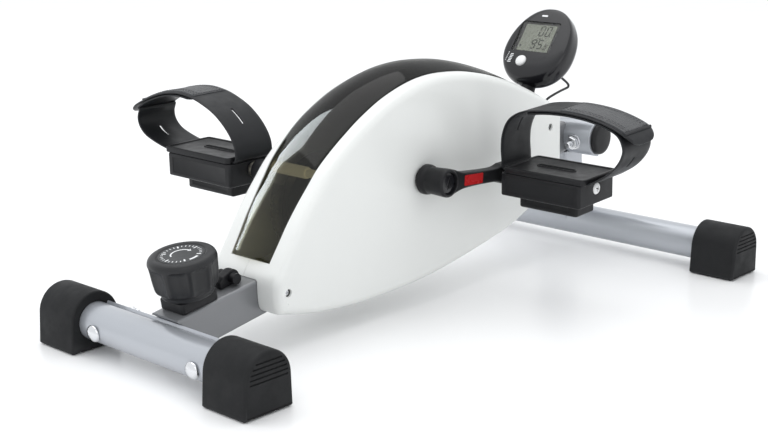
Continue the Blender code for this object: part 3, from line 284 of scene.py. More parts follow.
def tinted_painted_shade(name, low, shaded_top_tint, z_low, z_high, rough=0.05):
    """See-through moulding: light passes straight on, tinted, and the tint darkens with height as painted shade of the
    dark interior; the surface keeps its own gloss."""
    m, nt, p = nodes_of(name)
    outp = [n for n in nt.nodes if n.type == "OUTPUT_MATERIAL"][0]
    tc = nt.nodes.new("ShaderNodeTexCoord")
    sep = nt.nodes.new("ShaderNodeSeparateXYZ")
    nt.links.new(tc.outputs["Object"], sep.inputs["Vector"])
    # painted shade: the transmitted tint darkens with height, standing in for the shadowed interior
    up = maprange(nt, sep.outputs["Z"], z_low, z_high, 0.0, 1.0)
    cloud = noise(nt, tc.outputs["Object"], 9.0, 2.0)
    drift = maprange(nt, cloud.outputs["Fac"], 0.3, 0.7, -0.06, 0.06)
    add = nt.nodes.new("ShaderNodeMath")
    add.operation = "ADD"
    nt.links.new(up.outputs["Result"], add.inputs[0])
    nt.links.new(drift.outputs["Result"], add.inputs[1])
    cr = ramp(nt, add.outputs["Value"], 0.0, 1.0, (*low, 1), (*shaded_top_tint, 1))
    clear = nt.nodes.new("ShaderNodeBsdfTransparent")
    nt.links.new(cr.outputs["Color"], clear.inputs["Color"])
    p.inputs["Base Color"].default_value = (0.006, 0.006, 0.005, 1)
    p.inputs["Specular IOR Level"].default_value = 0.75
    mid = noise(nt, tc.outputs["Object"], 60.0, 2.0)
    rr = maprange(nt, mid.outputs["Fac"], 0.3, 0.7, rough * 0.8, rough * 1.2)
    nt.links.new(rr.outputs["Result"], p.inputs["Roughness"])
    fine = noise(nt, tc.outputs["Object"], 18.0, 2.0)
    b = nt.nodes.new("ShaderNodeBump")
    b.inputs["Strength"].default_value = 0.1
    b.inputs["Distance"].default_value = 0.01 * MM
    nt.links.new(fine.outputs["Fac"], b.inputs["Height"])
    nt.links.new(b.outputs["Normal"], p.inputs["Normal"])
    mix = nt.nodes.new("ShaderNodeMixShader")
    mix.inputs["Fac"].default_value = 0.36
    nt.links.new(clear.outputs["BSDF"], mix.inputs[1])
    nt.links.new(p.outputs["BSDF"], mix.inputs[2])
    nt.links.new(mix.outputs["Shader"], outp.inputs["Surface"])
    return m


# smoked window: real smoky tint at the bottom, darkening towards the top as painted shade of the interior
SMOKE_PAINTED_SHADE = tinted_painted_shade("smoked_window_painted_shade", (1.0, 0.98, 0.84), (0.30, 0.30, 0.28), 0.11, 0.215)
LENS = smoked("display_lens_plastic", (0.20, 0.21, 0.18), 0.05, 0.04)

CAD_MATS = {
    "silver_paint": SILVER, "grey_paint": GREY, "black_rubber": RUBBER, "black_plastic": BLACK,
    "gloss_black": GLOSSB, "white_plastic": WHITE, "smoked_clear": SMOKE_PAINTED_SHADE, "zinc_plate": ZINC,
    "steel": STEEL, "cast_iron": IRON, "belt_rubber": BELT, "display_window": LENS, "strap_web": STRAP,
}
for sp in frame["record"]["subparts"]:
    ob = NODES.get(sp["node"])
    if ob is not None:
        ob.data.materials.clear()
        ob.data.materials.append(CAD_MATS[sp["material_slot"]])


# ------------------------------------------------------------------ mesh helpers (points in mm)
def new_mesh(name, verts, faces, mat, angle=32.0, uvs=None, weld=True):
    me = bpy.data.meshes.new(name)
    me.from_pydata([Vector(v) * MM for v in verts], [], faces)
    me.validate()
    bm = bmesh.new()
    bm.from_mesh(me)
    if weld:
        bmesh.ops.remove_doubles(bm, verts=bm.verts, dist=0.000002)
        bmesh.ops.dissolve_degenerate(bm, edges=bm.edges, dist=0.000001)
    bmesh.ops.recalc_face_normals(bm, faces=bm.faces)
    bm.to_mesh(me)
    bm.free()
    ob = bpy.data.objects.new(name, me)
    COLL.objects.link(ob)
    if mat is not None:
        me.materials.append(mat)
    shade(ob, angle)
    return ob


def shade(ob, angle=32.0):
    ob.data.shade_smooth()
    ob.data.set_sharp_from_angle(angle=math.radians(angle))
    return ob


def frame_matrix(p, d, up=(0, 1, 0)):
    z = Vector(d).normalized()
    x = Vector(up).cross(z)
    if x.length < 1e-6:
        x = Vector((1, 0, 0)).cross(z)
    x.normalize()
    y = z.cross(x)
    m = Matrix((x, y, z)).transposed().to_4x4()
    m.translation = Vector(p)
    return m


def turned(name, profile, mat, p, d, steps=64, ring=False, up=(0, 1, 0), angle=32.0, shape=None):
    """Turn (radius, height) points about the line through p along d."""
    m = frame_matrix(p, d, up)
    verts, rows = [], []
    for r, z in profile:
        row = []
        if r < 1e-6:
            verts.append(m @ Vector((0, 0, z)))
            row = [len(verts) - 1] * steps
        else:
            for k in range(steps):
                a = 2 * math.pi * k / steps
                rr = shape(r, z, a) if shape else r
                verts.append(m @ Vector((rr * math.cos(a), rr * math.sin(a), z)))
                row.append(len(verts) - 1)
        rows.append(row)
    if ring:
        rows.append(rows[0])
    faces = []
    for a, b in zip(rows, rows[1:]):
        for k in range(steps):
            q = [a[k], a[(k + 1) % steps], b[(k + 1) % steps], b[k]]
            f = []
            for i in q:
                if i not in f:
                    f.append(i)
            if len(f) >= 3:
                faces.append(f)
    return new_mesh(name, verts, faces, mat, angle)


def inset(pts, d):
    """Closed 2D loop moved inwards by d (loop runs counter-clockwise)."""
    n = len(pts)
    area = sum(pts[i][0] * pts[(i + 1) % n][1] - pts[(i + 1) % n][0] * pts[i][1] for i in range(n))
    s = 1.0 if area > 0 else -1.0
    out = []
    for i in range(n):
        a, p, b = Vector(pts[i - 1]), Vector(pts[i]), Vector(pts[(i + 1) % n])
        t1, t2 = (p - a), (b - p)
        if t1.length < 1e-9:
            t1 = t2
        if t2.length < 1e-9:
            t2 = t1
        t1, t2 = t1.normalized(), t2.normalized()
        n1, n2 = Vector((-t1.y, t1.x)) * s, Vector((-t2.y, t2.x)) * s
        k = 1 + n1.dot(n2)
        v = (n1 + n2) / max(k, 0.35)
        out.append((p.x + v.x * d, p.y + v.y * d))
    return out


def loft(name, loops, mat, caps=(True, True), angle=32.0):
    n = len(loops[0])
    verts = [p for lp in loops for p in lp]
    faces = []
    for r in range(len(loops) - 1):
        for k in range(n):
            a, b = r * n + k, r * n + (k + 1) % n
            faces.append([a, b, b + n, a + n])
    if caps[0]:
        faces.append(list(range(n))[::-1])
    if caps[1]:
        faces.append([(len(loops) - 1) * n + k for k in range(n)])
    return new_mesh(name, verts, faces, mat, angle)


def prism(name, outline, t0, t1, mat, place, r0=0.0, r1=0.0, seg=4, angle=32.0, taper=0.0):
    """Outline (2D) carried from t0 to t1, with both end edges rounded by r0, r1.
    place(a, b, t) gives the 3D point."""
    loops = []
    def ring(ins, t):
        o = inset(outline, ins) if abs(ins) > 1e-9 else outline
        loops.append([place(a, b, t) for a, b in o])
    sgn = 1 if t1 > t0 else -1
    if r0 > 0:
        for k in range(seg + 1):
            a = math.pi / 2 * k / seg
            ring(r0 * (1 - math.sin(a)) + taper, t0 + sgn * r0 * (1 - math.cos(a)))
    else:
        ring(taper, t0)
    if r1 > 0:
        for k in range(seg + 1):
            a = math.pi / 2 * k / seg
            ring(r1 * (1 - math.cos(a)), t1 - sgn * r1 * (1 - math.sin(a)))
    else:
        ring(0.0, t1)
    return loft(name, loops, mat, angle=angle)


def rounded_rect(w, h, r, seg=5, cx=0.0, cy=0.0):
    pts = []
    for qx, qy, a0 in ((1, 1, 0), (-1, 1, 90), (-1, -1, 180), (1, -1, 270)):
        for k in range(seg + 1):
            a = math.radians(a0 + 90 * k / seg)
            pts.append((cx + qx * (w / 2 - r) + r * math.cos(a), cy + qy * (h / 2 - r) + r * math.sin(a)))
    return pts


def rbox(name, size, mat, place=None, r=2.0, seg=3, corner=None, angle=32.0):
    """Box with rounded corners and edges; place is a 4x4 in mm."""
    w, l, h = size
    m = place or Matrix.Identity(4)
    c = max(corner or 0.0, r * 1.04 + 0.03)
    o = rounded_rect(w, l, min(c, min(w, l) * 0.499), seg + 1)
    return prism(name, o, -h / 2, h / 2, mat, lambda a, b, t: m @ Vector((a, b, t)), r, r, seg, angle)


def catmull(pts, per=4, closed=False):
    n = len(pts)
    out = []
    for i in range(n if closed else n - 1):
        if closed:
            p0, p1, p2, p3 = (pts[(i + k - 1) % n] for k in range(4))
        else:
            p1, p2 = pts[i], pts[i + 1]
            p0 = pts[i - 1] if i else tuple(2 * a - b for a, b in zip(p1, p2))
            p3 = pts[i + 2] if i + 2 < n else tuple(2 * b - a for a, b in zip(p1, p2))
        for k in range(per):
            t = k / per
            out.append(tuple(0.5 * ((2 * b) + (c - a) * t + (2 * a - 5 * b + 4 * c - d) * t * t
                                    + (3 * b - a - 3 * c + d) * t ** 3)
                             for a, b, c, d in zip(p0, p1, p2, p3)))
    if not closed:
        out.append(tuple(pts[-1]))
    return out


def resample(pts, n, closed=False):
    """n+1 points spread evenly along a polyline."""
    vs = [Vector(p) for p in pts] + ([Vector(pts[0])] if closed else [])
    ls = [0.0]
    for a, b in zip(vs, vs[1:]):
        ls.append(ls[-1] + (b - a).length)
    out, j = [], 0
    for i in range(n + 1):
        t = ls[-1] * i / n
        while j < len(vs) - 2 and ls[j + 1] < t:
            j += 1
        k = (t - ls[j]) / max(ls[j + 1] - ls[j], 1e-9)
        out.append(tuple(vs[j].lerp(vs[j + 1], min(max(k, 0), 1))))
    return out


def arc(cx, cz, r, a0, a1, n):
    return [(cx + r * math.cos(a0 + (a1 - a0) * i / n), cz + r * math.sin(a0 + (a1 - a0) * i / n))
            for i in range(n + 1)]


def apply_all(ob):
    """Bake the modifiers into the mesh."""
    dg = bpy.context.evaluated_depsgraph_get()
    dg.update()
    me = bpy.data.meshes.new_from_object(ob.evaluated_get(dg))
    ob.modifiers.clear()
    ob.data = me
    return ob


def carve(ob, tools, op="DIFFERENCE", angle=32.0, self_hit=False):
    for t in tools:
        b = ob.modifiers.new("carve", "BOOLEAN")
        b.operation = op
        b.object = t
        b.solver = "EXACT"
        b.use_self = self_hit
    apply_all(ob)
    for t in tools:
        bpy.data.objects.remove(t, do_unlink=True)
    me = ob.data
    bm = bmesh.new()
    bm.from_mesh(me)
    bmesh.ops.remove_doubles(bm, verts=bm.verts, dist=0.000002)
    bm.to_mesh(me)
    bm.free()
    if len(me.materials) > 1:
        keep = me.materials[0]
        for poly in me.polygons:
            poly.material_index = 0
        me.materials.clear()
        me.materials.append(keep)
    shade(ob, angle)
    return ob


def rod(name, r, length, p, d, steps=48, up=(1, 0, 0)):
    return turned(name, [(0, length), (r, length), (r, 0), (0, 0)], None, p, d, steps, up=up)


def own(ob, body, slot, *stands):
    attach(ob, body)
    if stands:
        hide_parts(*stands)
    return ob


def joined(name, obs, angle=32.0):
    """One object from several."""
    bm = bmesh.new()
    mats = []
    for o in obs:
        idx = {}
        for i, m in enumerate(o.data.materials):
            if m not in mats:
                mats.append(m)
            idx[i] = mats.index(m)
        tmp = bmesh.new()
        tmp.from_mesh(o.data)
        bmesh.ops.transform(tmp, matrix=o.matrix_world, verts=tmp.verts)
        me = bpy.data.meshes.new("tmp")
        for f in tmp.faces:
            f.material_index = idx.get(f.material_index, 0)
        tmp.to_mesh(me)
        tmp.free()
        bm.from_mesh(me)
        bpy.data.meshes.remove(me)
    me = bpy.data.meshes.new(name)
    bm.to_mesh(me)
    bm.free()
    for m in mats:
        me.materials.append(m)
    for o in obs:
        bpy.data.objects.remove(o, do_unlink=True)
    ob = bpy.data.objects.new(name, me)
    COLL.objects.link(ob)
    shade(ob, angle)
    return ob


SIDES = (("right", -1), ("left", 1))

# ------------------------------------------------------------------ floor bars and feet
def cap_outline(x):
    h = CAP_W / 2
    pts = [(-h + 1.5, 0.0), (-h + 8, 0.0), (0, 0.0), (h - 8, 0.0), (h - 1.5, 0.0), (h, 1.5), (h - 0.2, 4.0), (h - 0.7, 14.0),
           (h - 1.2, 24.0)]
    top = [(27.4 * math.cos(a), 30.8 + 27.2 * math.sin(a))
           for a in [math.radians(4 + 172 * i / 36) for i in range(37)]]
    return [(x + a, b) for a, b in pts + top + [(-h + 1.2, 24.0), (-h + 0.7, 14.0), (-h + 0.2, 4.0), (-h, 1.5)]]


def foot_cap(name, x, sy, width):
    y_out, y_in = sy * width / 2, sy * (width / 2 - CAP_LEN)
    o = cap_outline(x)
    cap = prism(name, o, y_in, y_out, RUBBER, lambda a, b, t: Vector((a, t, b)), 2.2, 3.2, 5, angle=40)
    tools = []
    # ribbed upper part of the outer face
    inner = inset(o, 5.0)
    for k in range(6):
        z = 27.5 + 4.3 * k
        row = [q for q in inner if q[1] > z - 0.9]
        lim = [q for q in inner if abs(q[1] - z) < 3.0]
        if not lim:
            continue
        xs = [q[0] for q in lim]
        w = max(xs) - min(xs)
        m = Matrix.Translation(Vector(((max(xs) + min(xs)) / 2, y_out, z)))
        tools.append(rbox("rib", (w, 2.8, 1.7), None, m, 0.6, 2, corner=0.9))
    # grooves along the sole
    for f in (0.18, 0.42, 0.635, 0.85):
        tools.append(rod("groove", 1.9, CAP_LEN + 8, (x - 29 + 58 * f, sy * (width / 2 - CAP_LEN - 4), 0.1),
                         (0, sy, 0), steps=16))
    tools.append(rod("socket", STAB_R + 0.4, CAP_LEN, (x, sy * (width / 2 - 5.7 - CAP_LEN), STAB_Z), (0, sy, 0), 72))
    carve(cap, tools, angle=40)
    own(cap, "base", "black_rubber", name.replace("_cover", ""))


for side, sy in SIDES:
    foot_cap("foot_cap_front_" + side + "_cover", FRONT_X, sy, FRONT_WIDTH)
    foot_cap("foot_cap_rear_" + side + "_cover", REAR_X, sy, REAR_WIDTH)


def round_tube(name, x, z, half, node, wall=2.0):
    r, ri = STAB_R, STAB_R - wall
    own(turned(name, [(r - 0.4, half), (r, half - 0.4), (r, -half + 0.4), (r - 0.4, -half), (ri, -half), (ri, half)],
               SILVER, (x, 0, z), (0, 1, 0), 96, ring=True, up=(1, 0, 0)), "base", "silver_paint", node)


round_tube("front_floor_bar", FRONT_X, STAB_Z, FRONT_WIDTH / 2 - 6, "front_stabiliser_tube")
round_tube("rear_floor_bar", REAR_X, STAB_Z, REAR_WIDTH / 2 - 6, "rear_stabiliser_tube")
round_tube("cross_bar", CROSS_X, CROSS_Z, CROSS_HALF - 6, "rear_cross_tube")
for side, sy in SIDES:
    own(turned("cross_bar_plug_" + side,
               [(0, 6), (14.5, 5.9), (17.2, 5.5), (18.8, 4.5), (19.5, 3.0), (19.5, 0.3), (16.5, 0.3), (16.5, -9), (0, -9)],
               BLACK, (CROSS_X, sy * (CROSS_HALF - 6), CROSS_Z), (0, sy, 0), 64, up=(1, 0, 0)),
        "base", "black_plastic", "cross_tube_plug_" + side)


def saddle(name, x, z, half, mid, spread, node, mat):
    r0, r1 = STAB_R + 0.3, STAB_R + 3.3
    loop = arc(x, z, r1, mid - spread, mid + spread, 40) + arc(x, z, r0, mid + spread, mid - spread, 40)
    ob = prism(name, loop, -half, half, mat, lambda a, b, t: Vector((a, t, b)), 0.5, 0.5, 2, angle=30)
    own(ob, "base", "grey_paint", node)


saddle("front_saddle", FRONT_X, STAB_Z, FRONT_SADDLE_HALF, SLOPE, math.radians(46), "front_saddle_plate", SILVER)
saddle("rear_saddle", CROSS_X, CROSS_Z, REAR_SADDLE_HALF, math.pi + SLOPE, math.radians(82), "rear_saddle_plate", SILVER)


def carriage_bolt(name, p, d, length, node):
    prof = [(0, 5.2), (2.2, 5.05), (4.4, 4.55), (6.4, 3.55), (7.8, 2.3), (8.6, 0.9), (8.6, 0.3), (4.0, 0.3), (4.0, -length + 1.0),
            (3.2, -length), (0, -length)]
    own(turned(name, prof, ZINC, p, -Vector(d), 48), "base", "zinc_plate", node)


def hex_nut(name, p, d, node):
    m = frame_matrix(p, d)
    hexa = [(8.0 * math.cos(math.radians(60 * k + 12)), 8.0 * math.sin(math.radians(60 * k + 12))) for k in range(6)]
    nut = prism("nut_body", hexa, 1.9, 8.3, ZINC, lambda a, b, t: m @ Vector((a, b, t)), 0.5, 0.9, 2, angle=25)
    carve(nut, [rod("bore", 4.3, 14, m @ Vector((0, 0, -2)), d, 24)], angle=25)
    washer = turned("washer", [(9.2, 1.7), (9.4, 1.5), (9.4, 0.5), (9.2, 0.3), (4.4, 0.3), (4.4, 1.7)], ZINC, p, d, 40, ring=True)
    ob = joined(name, [nut, washer], 25)
    own(ob, "base", "zinc_plate", node)


for side, sy in SIDES:
    c = Vector((FRONT_X, sy * FRONT_BOLT_Y, STAB_Z))
    carriage_bolt("front_carriage_bolt_" + side, c - TD * STAB_R, TD, 2 * STAB_R + 16, "front_bolt_" + side)
    hex_nut("front_hex_nut_" + side, c + TD * (STAB_R + 3.3), TD, "front_nut_" + side)
    c = Vector((CROSS_X, sy * REAR_BOLT_Y, CROSS_Z))
    carriage_bolt("rear_carriage_bolt_" + side, c + TD * STAB_R, -TD, 2 * STAB_R + 20, "rear_bolt_" + side)
    hex_nut("rear_hex_nut_" + side, c - TD * (STAB_R + 3.3), -TD, "rear_nut_" + side)

# ------------------------------------------------------------------ main tube and upright
def square_tube(name, p, rot, length, r=3.2):
    m = rot.to_4x4()
    m.translation = Vector(p)
    o = rounded_rect(MAIN_SQ, MAIN_SQ, r, 6)
    i = rounded_rect(MAIN_SQ - 5, MAIN_SQ - 5, max(r - 2, 0.8), 6)
    n = len(o)
    loops = [[m @ Vector((t, a, b)) for a, b in lp] for lp, t in
             ((o, -length / 2), (o, length / 2), (i, length / 2), (i, -length / 2))]
    verts = [q for lp in loops for q in lp]
    faces = []
    for q in range(4):
        for k in range(n):
            a0, b0 = q * n, ((q + 1) % 4) * n
            faces.append([a0 + k, a0 + (k + 1) % n, b0 + (k + 1) % n, b0 + k])
    return new_mesh(name, verts, faces, GREY, 40)


tube = square_tube("main_square_tube", on_tube(310, 0, 0), TUBE_ROT, 640)
cope = STAB_R + 3.9
carve(tube, [rod("c1", cope, 80, (FRONT_X, -40, STAB_Z), (0, 1, 0), 96),
             rod("c2", cope, 80, (CROSS_X, -40, CROSS_Z), (0, 1, 0), 96)], angle=40)
# the ends beyond the saddles
cut_f = rbox("cf", (60, 80, 80), None, Matrix.Translation(on_tube(-40, 0, 0)) @ TUBE_ROT.to_4x4(), 1)
cut_r = rbox("cr", (60, 80, 80), None, Matrix.Translation(on_tube(642, 0, 0)) @ TUBE_ROT.to_4x4(), 1)
carve(tube, [cut_f, cut_r], angle=40)
own(tube, "base", "grey_paint", "main_tube")

lean = Vector((CROSS_X - REAR_X, 0, CROSS_Z - STAB_Z))
x_ax = lean.normalized()
up_rot = Matrix((x_ax, Vector((0, 1, 0)), x_ax.cross(Vector((0, 1, 0))))).transposed()
post = square_tube("rear_post", ((CROSS_X + REAR_X) / 2, 0, (CROSS_Z + STAB_Z) / 2), up_rot, lean.length)
sp_ = math.radians(60)
clear = prism("saddle_clear", arc(CROSS_X, CROSS_Z, STAB_R + 3.9, math.pi + SLOPE - sp_, math.pi + SLOPE + sp_, 40)
              + [(CROSS_X, CROSS_Z)], -60, 60, None, lambda a, b, t: Vector((a, t, b)))
tclear = rbox("tclear", (120, 60, MAIN_SQ + 0.6), None, Matrix.Translation(on_tube(565, 0, 0)) @ TUBE_ROT.to_4x4(), 1)
carve(post, [rod("c3", STAB_R + 0.3, 80, (REAR_X, -40, STAB_Z), (0, 1, 0), 96),
             rod("c4", STAB_R + 0.3, 80, (CROSS_X, -40, CROSS_Z), (0, 1, 0), 96), clear, tclear], angle=40)
post.data.materials.clear()
post.data.materials.append(SILVER)
own(post, "base", "silver_paint", "rear_upright_tube")

# ------------------------------------------------------------------ housing
TOP_LINE = [(-209.1, 84.9), (-197.7, 102.6), (-187.3, 119.0), (-174.7, 136.0), (-160.5, 153.1),
            (-147.0, 168.7), (-128.6, 184.5), (-109.1, 198.8), (-89.1, 211.3), (-63.6, 224.4),
            (-41.1, 233.0), (-20.0, 239.1), (1.6, 243.2), (27.5, 244.9), (61.8, 243.3), (89.4, 239.3),
            (117.7, 233.0), (147.0, 224.6), (173.3, 215.3), (199.5, 204.4), (229.5, 190.6)]
FRONT_LINE = [(-207.5, 36.0), (-213.5, 37.5), (-217.0, 44.0), (-218.5, 60.0), (-217.5, 72.0)]
REAR_LINE = [(241.0, 183.5), (246.5, 174.0), (247.5, 160.0), (248.5, 140.0), (249.0, 118.0), (245.0, 104.0),
             (232.0, 91.0), (212.0, 78.5)]
LOW_LINE = [(186.0, 67.5), (160.0, 57.0), (130.0, 49.0), (95.0, 41.5), (55.0, 34.0), (15.0, 28.0),
            (-25.0, 24.2), (-65.0, 22.4), (-105.0, 22.2), (-145.0, 25.0), (-178.0, 29.5)]
OUTLINE = FRONT_LINE + TOP_LINE + REAR_LINE + LOW_LINE
SCREWS = {"front": (-205.0, 58.7), "rear": (220.6, 162.8)}
SPACER = (-129.0, 157.0)
AXLE = (CRANK_X, CRANK_Z)


def chains(n):
    """Upper and lower run of the outline from front tip to rear tip, n+1 points each."""
    pts = catmull(OUTLINE, 8, closed=True)
    ia = min(range(len(pts)), key=lambda i: (Vector(pts[i]) - Vector((-218.3, 56.0))).length)
    ib = min(range(len(pts)), key=lambda i: (Vector(pts[i]) - Vector((248.9, 126.0))).length)
    k = len(pts)
    up, lo = [], []
    i = ia
    while True:
        up.append(pts[i])
        if i == ib:
            break
        i = (i + 1) % k
    i = ia
    while True:
        lo.append(pts[i])
        if i == ib:
            break
        i = (i - 1) % k
    return resample(up, n), resample(lo, n)


def smooth_normals(loop):
    n = len(loop)
    raw = []
    for i in range(n):
        t = Vector(loop[(i + 1) % n]) - Vector(loop[i - 1])
        t.normalize()
        raw.append(Vector((t.y, -t.x)))           # clockwise loop: inwards
    out = []
    for i in range(n):
        v = Vector((0, 0))
        for k in range(-3, 4):
            v += raw[(i + k) % n]
        out.append(v.normalized())
    return out


def shell_half(name, sy):
    n = 200
    U, L = chains(n)
    loop = U + L[::-1][1:-1]                      # clockwise seen with +X right, +Z up
    nrm = smooth_normals(loop)
    total = len(loop)
    R = SHELL_ROUND
    verts, rows = [], []
    seg = 8
    ys = [0.15, 12.0, 24.0, 32.0, SHELL_HALF - R]
    prof = [(0.0, y) for y in ys] + [(R * (1 - math.cos(math.pi / 2 * k / seg)),
                                      SHELL_HALF - R + R * math.sin(math.pi / 2 * k / seg)) for k in range(1, seg + 1)]
    for i, (x, z) in enumerate(loop):
        row = []
        for d, y in prof:
            verts.append((x + nrm[i].x * d, sy * (y + 0.0), z + nrm[i].y * d))
            row.append(len(verts) - 1)
        rows.append(row)
    faces = []
    for i in range(total):
        a, b = rows[i], rows[(i + 1) % total]
        for k in range(len(prof) - 1):
            faces.append([a[k], a[k + 1], b[k + 1], b[k]])
    # side face: a gently crowned grid between the upper and the lower run
    M = 26
    grid = []
    last = len(prof) - 1
    for i in range(n + 1):
        ui = rows[i][last]
        li = rows[(total - i) % total][last] if 0 < i < n else rows[i][last]
        a, b = Vector(verts[ui]), Vector(verts[li])
        col = [ui]
        span = (b - a).length
        if span > 1e-6 and ui != li:
            for k in range(1, M):
                f = k / M
                q = a.lerp(b, f)
                e = min(f, 1 - f) * span
                ends = min(1.0, (q.x + 218.0) / 60.0, (249.0 - q.x) / 60.0)
                lift = 1.6 * (1 - math.exp(-e / 22.0)) * max(0.0, ends)
                verts.append((q.x, q.y + sy * lift, q.z))
                col.append(len(verts) - 1)
            col.append(li)
        else:
            col = [ui] * (M + 1)
        grid.append(col)
    for i in range(n):
        for k in range(M):
            q = [grid[i][k], grid[i][k + 1], grid[i + 1][k + 1], grid[i + 1][k]]
            f = []
            for v in q:
                if v not in f:
                    f.append(v)
            if len(f) >= 3:
                faces.append(f)
    ob = new_mesh(name, verts, faces, WHITE, 50)
    # normals outwards
    bm = bmesh.new()
    bm.from_mesh(ob.data)
    bm.faces.ensure_lookup_table()
    side = [f for f in bm.faces if abs(f.normal.y) > 0.95]
    if sum(f.normal.y for f in side) * sy < 0:
        bmesh.ops.reverse_faces(bm, faces=bm.faces)
    bm.to_mesh(ob.data)
    bm.free()
    s = ob.modifiers.new("wall", "SOLIDIFY")
    s.thickness = SHELL_WALL * MM
    s.offset = -1.0
    s.use_even_offset = False
    apply_all(ob)
    shade(ob, 50)
    return ob


def half_width(s):
    if s < 0.30:
        return 27.0 + 6.0 * (s / 0.30)
    if s > 0.90:
        return 33.0 - 5.0 * (s - 0.90) / 0.10
    return 33.0


def window_shift(s):
    """The band reaches further over the left half than over the right."""
    f = min(1.0, max(0.0, (s - 0.08) / 0.27))
    return 3.0 * f * f * (3 - 2 * f)


def strip(name, rows, cols, mat, lift, width_of, thick, end_trim=0.0, edge=0.0, mat_angle=40):
    """Curved band that follows the crest; lift(s, u) is its height above the crest line."""
    base = catmull(TOP_LINE, 8)
    line = resample(base, rows)
    n = len(line)
    outer, inner = [], []
    for i, (x, z) in enumerate(line):
        a, b = line[max(i - 1, 0)], line[min(i + 1, n - 1)]
        t = Vector((b[0] - a[0], b[1] - a[1])).normalized()
        nx, nz = -t.y, t.x
        s = i / (n - 1)
        e = end_trim * ((1 if i == 0 else 0) - (1 if i == n - 1 else 0))
        w = width_of(s)
        r1, r2 = [], []
        for k in range(cols + 1):
            u = -1 + 2 * k / cols
            u = math.copysign(1 - (1 - abs(u)) ** 1.35, u)
            h = lift(s, u)
            px, pz = x + t.x * e, z + t.y * e
            y = window_shift(s) + u * (w + window_shift(s))
            r1.append((px + nx * h, y, pz + nz * h))
            r2.append((px + nx * (h - thick), y, pz + nz * (h - thick)))
        outer.append(r1)
        inner.append(r2)
    verts = [p for r in outer for p in r] + [p for r in inner for p in r]
    c1 = cols + 1
    off = n * c1
    faces = []
    for i in range(n - 1):
        for k in range(cols):
            a = i * c1 + k
            faces.append([a, a + 1, a + 1 + c1, a + c1])
            faces.append([off + a, off + a + c1, off + a + 1 + c1, off + a + 1])
    for k in range(cols):
        faces.append([k + 1, k, off + k, off + k + 1])
        a = (n - 1) * c1 + k
        faces.append([a, a + 1, off + a + 1, off + a])
    for i in range(n - 1):
        a = i * c1
        faces.append([a, a + c1, off + a + c1, off + a])
        a = i * c1 + cols
        faces.append([a + c1, a, off + a, off + a + c1])
    return new_mesh(name, verts, faces, mat, mat_angle)


def window_lift(s, u):
    crown = 10.5 * math.sin(math.pi * min(1.0, 0.16 + 0.68 * s)) * (1 - u * u)
    lip = -0.9 * max(0.0, (abs(u) - 0.955) / 0.045) ** 2
    end = min(s, 1 - s) * 560.0
    lip -= 0.7 * max(0.0, 1 - end / 2.5) ** 2
    return crown + lip


win = strip("window_strip", 220, 40, SMOKE_PAINTED_SHADE, window_lift, lambda s: half_width(s) - 0.1, 2.4, end_trim=0.2)
own(win, "base", "smoked_clear", "smoked_window")


for side, sy in SIDES:
    sh = shell_half("housing_half_" + side, sy)
    tools = [strip("band", 220, 2, None, lambda s, u: 14.0, lambda s: half_width(s) + 0.4, 34.0, end_trim=-0.4)]
    tools.append(rbox("tube_way", (560, MAIN_SQ + 1, MAIN_SQ + 1), None,
                      Matrix.Translation(on_tube(350, 0, 0)) @ TUBE_ROT.to_4x4(), 2.5, 3, corner=2.5))
    tools.append(rod("axle_way", 13.0, 140, (CRANK_X, -70, CRANK_Z), (0, 1, 0), 64))
    carve(sh, tools, angle=40)
    if side == "right":
        holes = [turned("recess_" + k, [(0, 14), (5.1, 14), (4.2, 2.0), (3.9, -8), (0, -8)], None,
                        (sx, -SHELL_HALF + 0.0, sz), (0, -1, 0), 40, up=(1, 0, 0)) for k, (sx, sz) in SCREWS.items()]
        carve(sh, [joined("recesses", holes)], angle=40, self_hit=True)
    own(sh, "base", "white_plastic", "housing_shell_" + side)

# spacer column seen through the window, thick from the left half and slimmer from the right; its material glows with
# painted light so it shows pale through the dark window
own(turned("spacer_column_left", [(0, 0.3), (5.6, 0.3), (6.2, 0.9), (6.2, 46.6), (0, 46.6)], COLUMN_PAINTED_GLOW,
           (SPACER[0], 0, SPACER[1]), (0, 1, 0), 40, up=(1, 0, 0)), "base", "white_plastic")
own(turned("spacer_column_right", [(0, 0.0), (4.0, 0.0), (4.4, 0.5), (4.4, 46.6), (0, 46.6)], COLUMN_PAINTED_GLOW,
           (SPACER[0], 0, SPACER[1]), (0, -1, 0), 40, up=(1, 0, 0)), "base", "white_plastic")
for k, (sx, sz) in SCREWS.items():
    end = 20.5 if k == "front" else -14.0
    body = turned("screw_" + k, [(0, 46.6), (2.6, 46.5), (3.4, 45.8), (3.5, 44.0), (1.9, 43.2), (1.9, end), (0, end)], ZINC,
                  (sx, 0, sz), (0, -1, 0), 32, up=(1, 0, 0))
    cross = [rbox("a", (4.0, 2.2, 0.8), None, Matrix.Translation((sx, -46.4, sz)), 0.1, 1),
             rbox("b", (0.8, 2.2, 4.0), None, Matrix.Translation((sx, -46.4, sz)), 0.1, 1)]
    carve(body, cross)
    body.name = "shell_screw_" + k
    own(body, "base", "zinc_plate", "housing_screw_" + k)

# ------------------------------------------------------------------ knob, base, eyelet
def knob_shape(r, z, a):
    k = 9
    f = (a * k / (2 * math.pi)) % 1.0
    f = abs(2 * f - 1)                                   # 1 at a ridge, 0 mid panel
    if z > 34.0:
        depth = 0.0
    elif z > 31.5:
        depth = (34.0 - z) / 2.5
    elif z > 9.0:
        depth = 1.0
    elif z > 5.0:
        depth = (z - 5.0) / 4.0
    else:
        depth = 0.0
    if r < 20:
        depth = 0.0
    cutin = 2.3 * (1 - min(1.0, f / 0.84) ** 3.0) if f < 0.84 else 0.0
    return r - depth * cutin


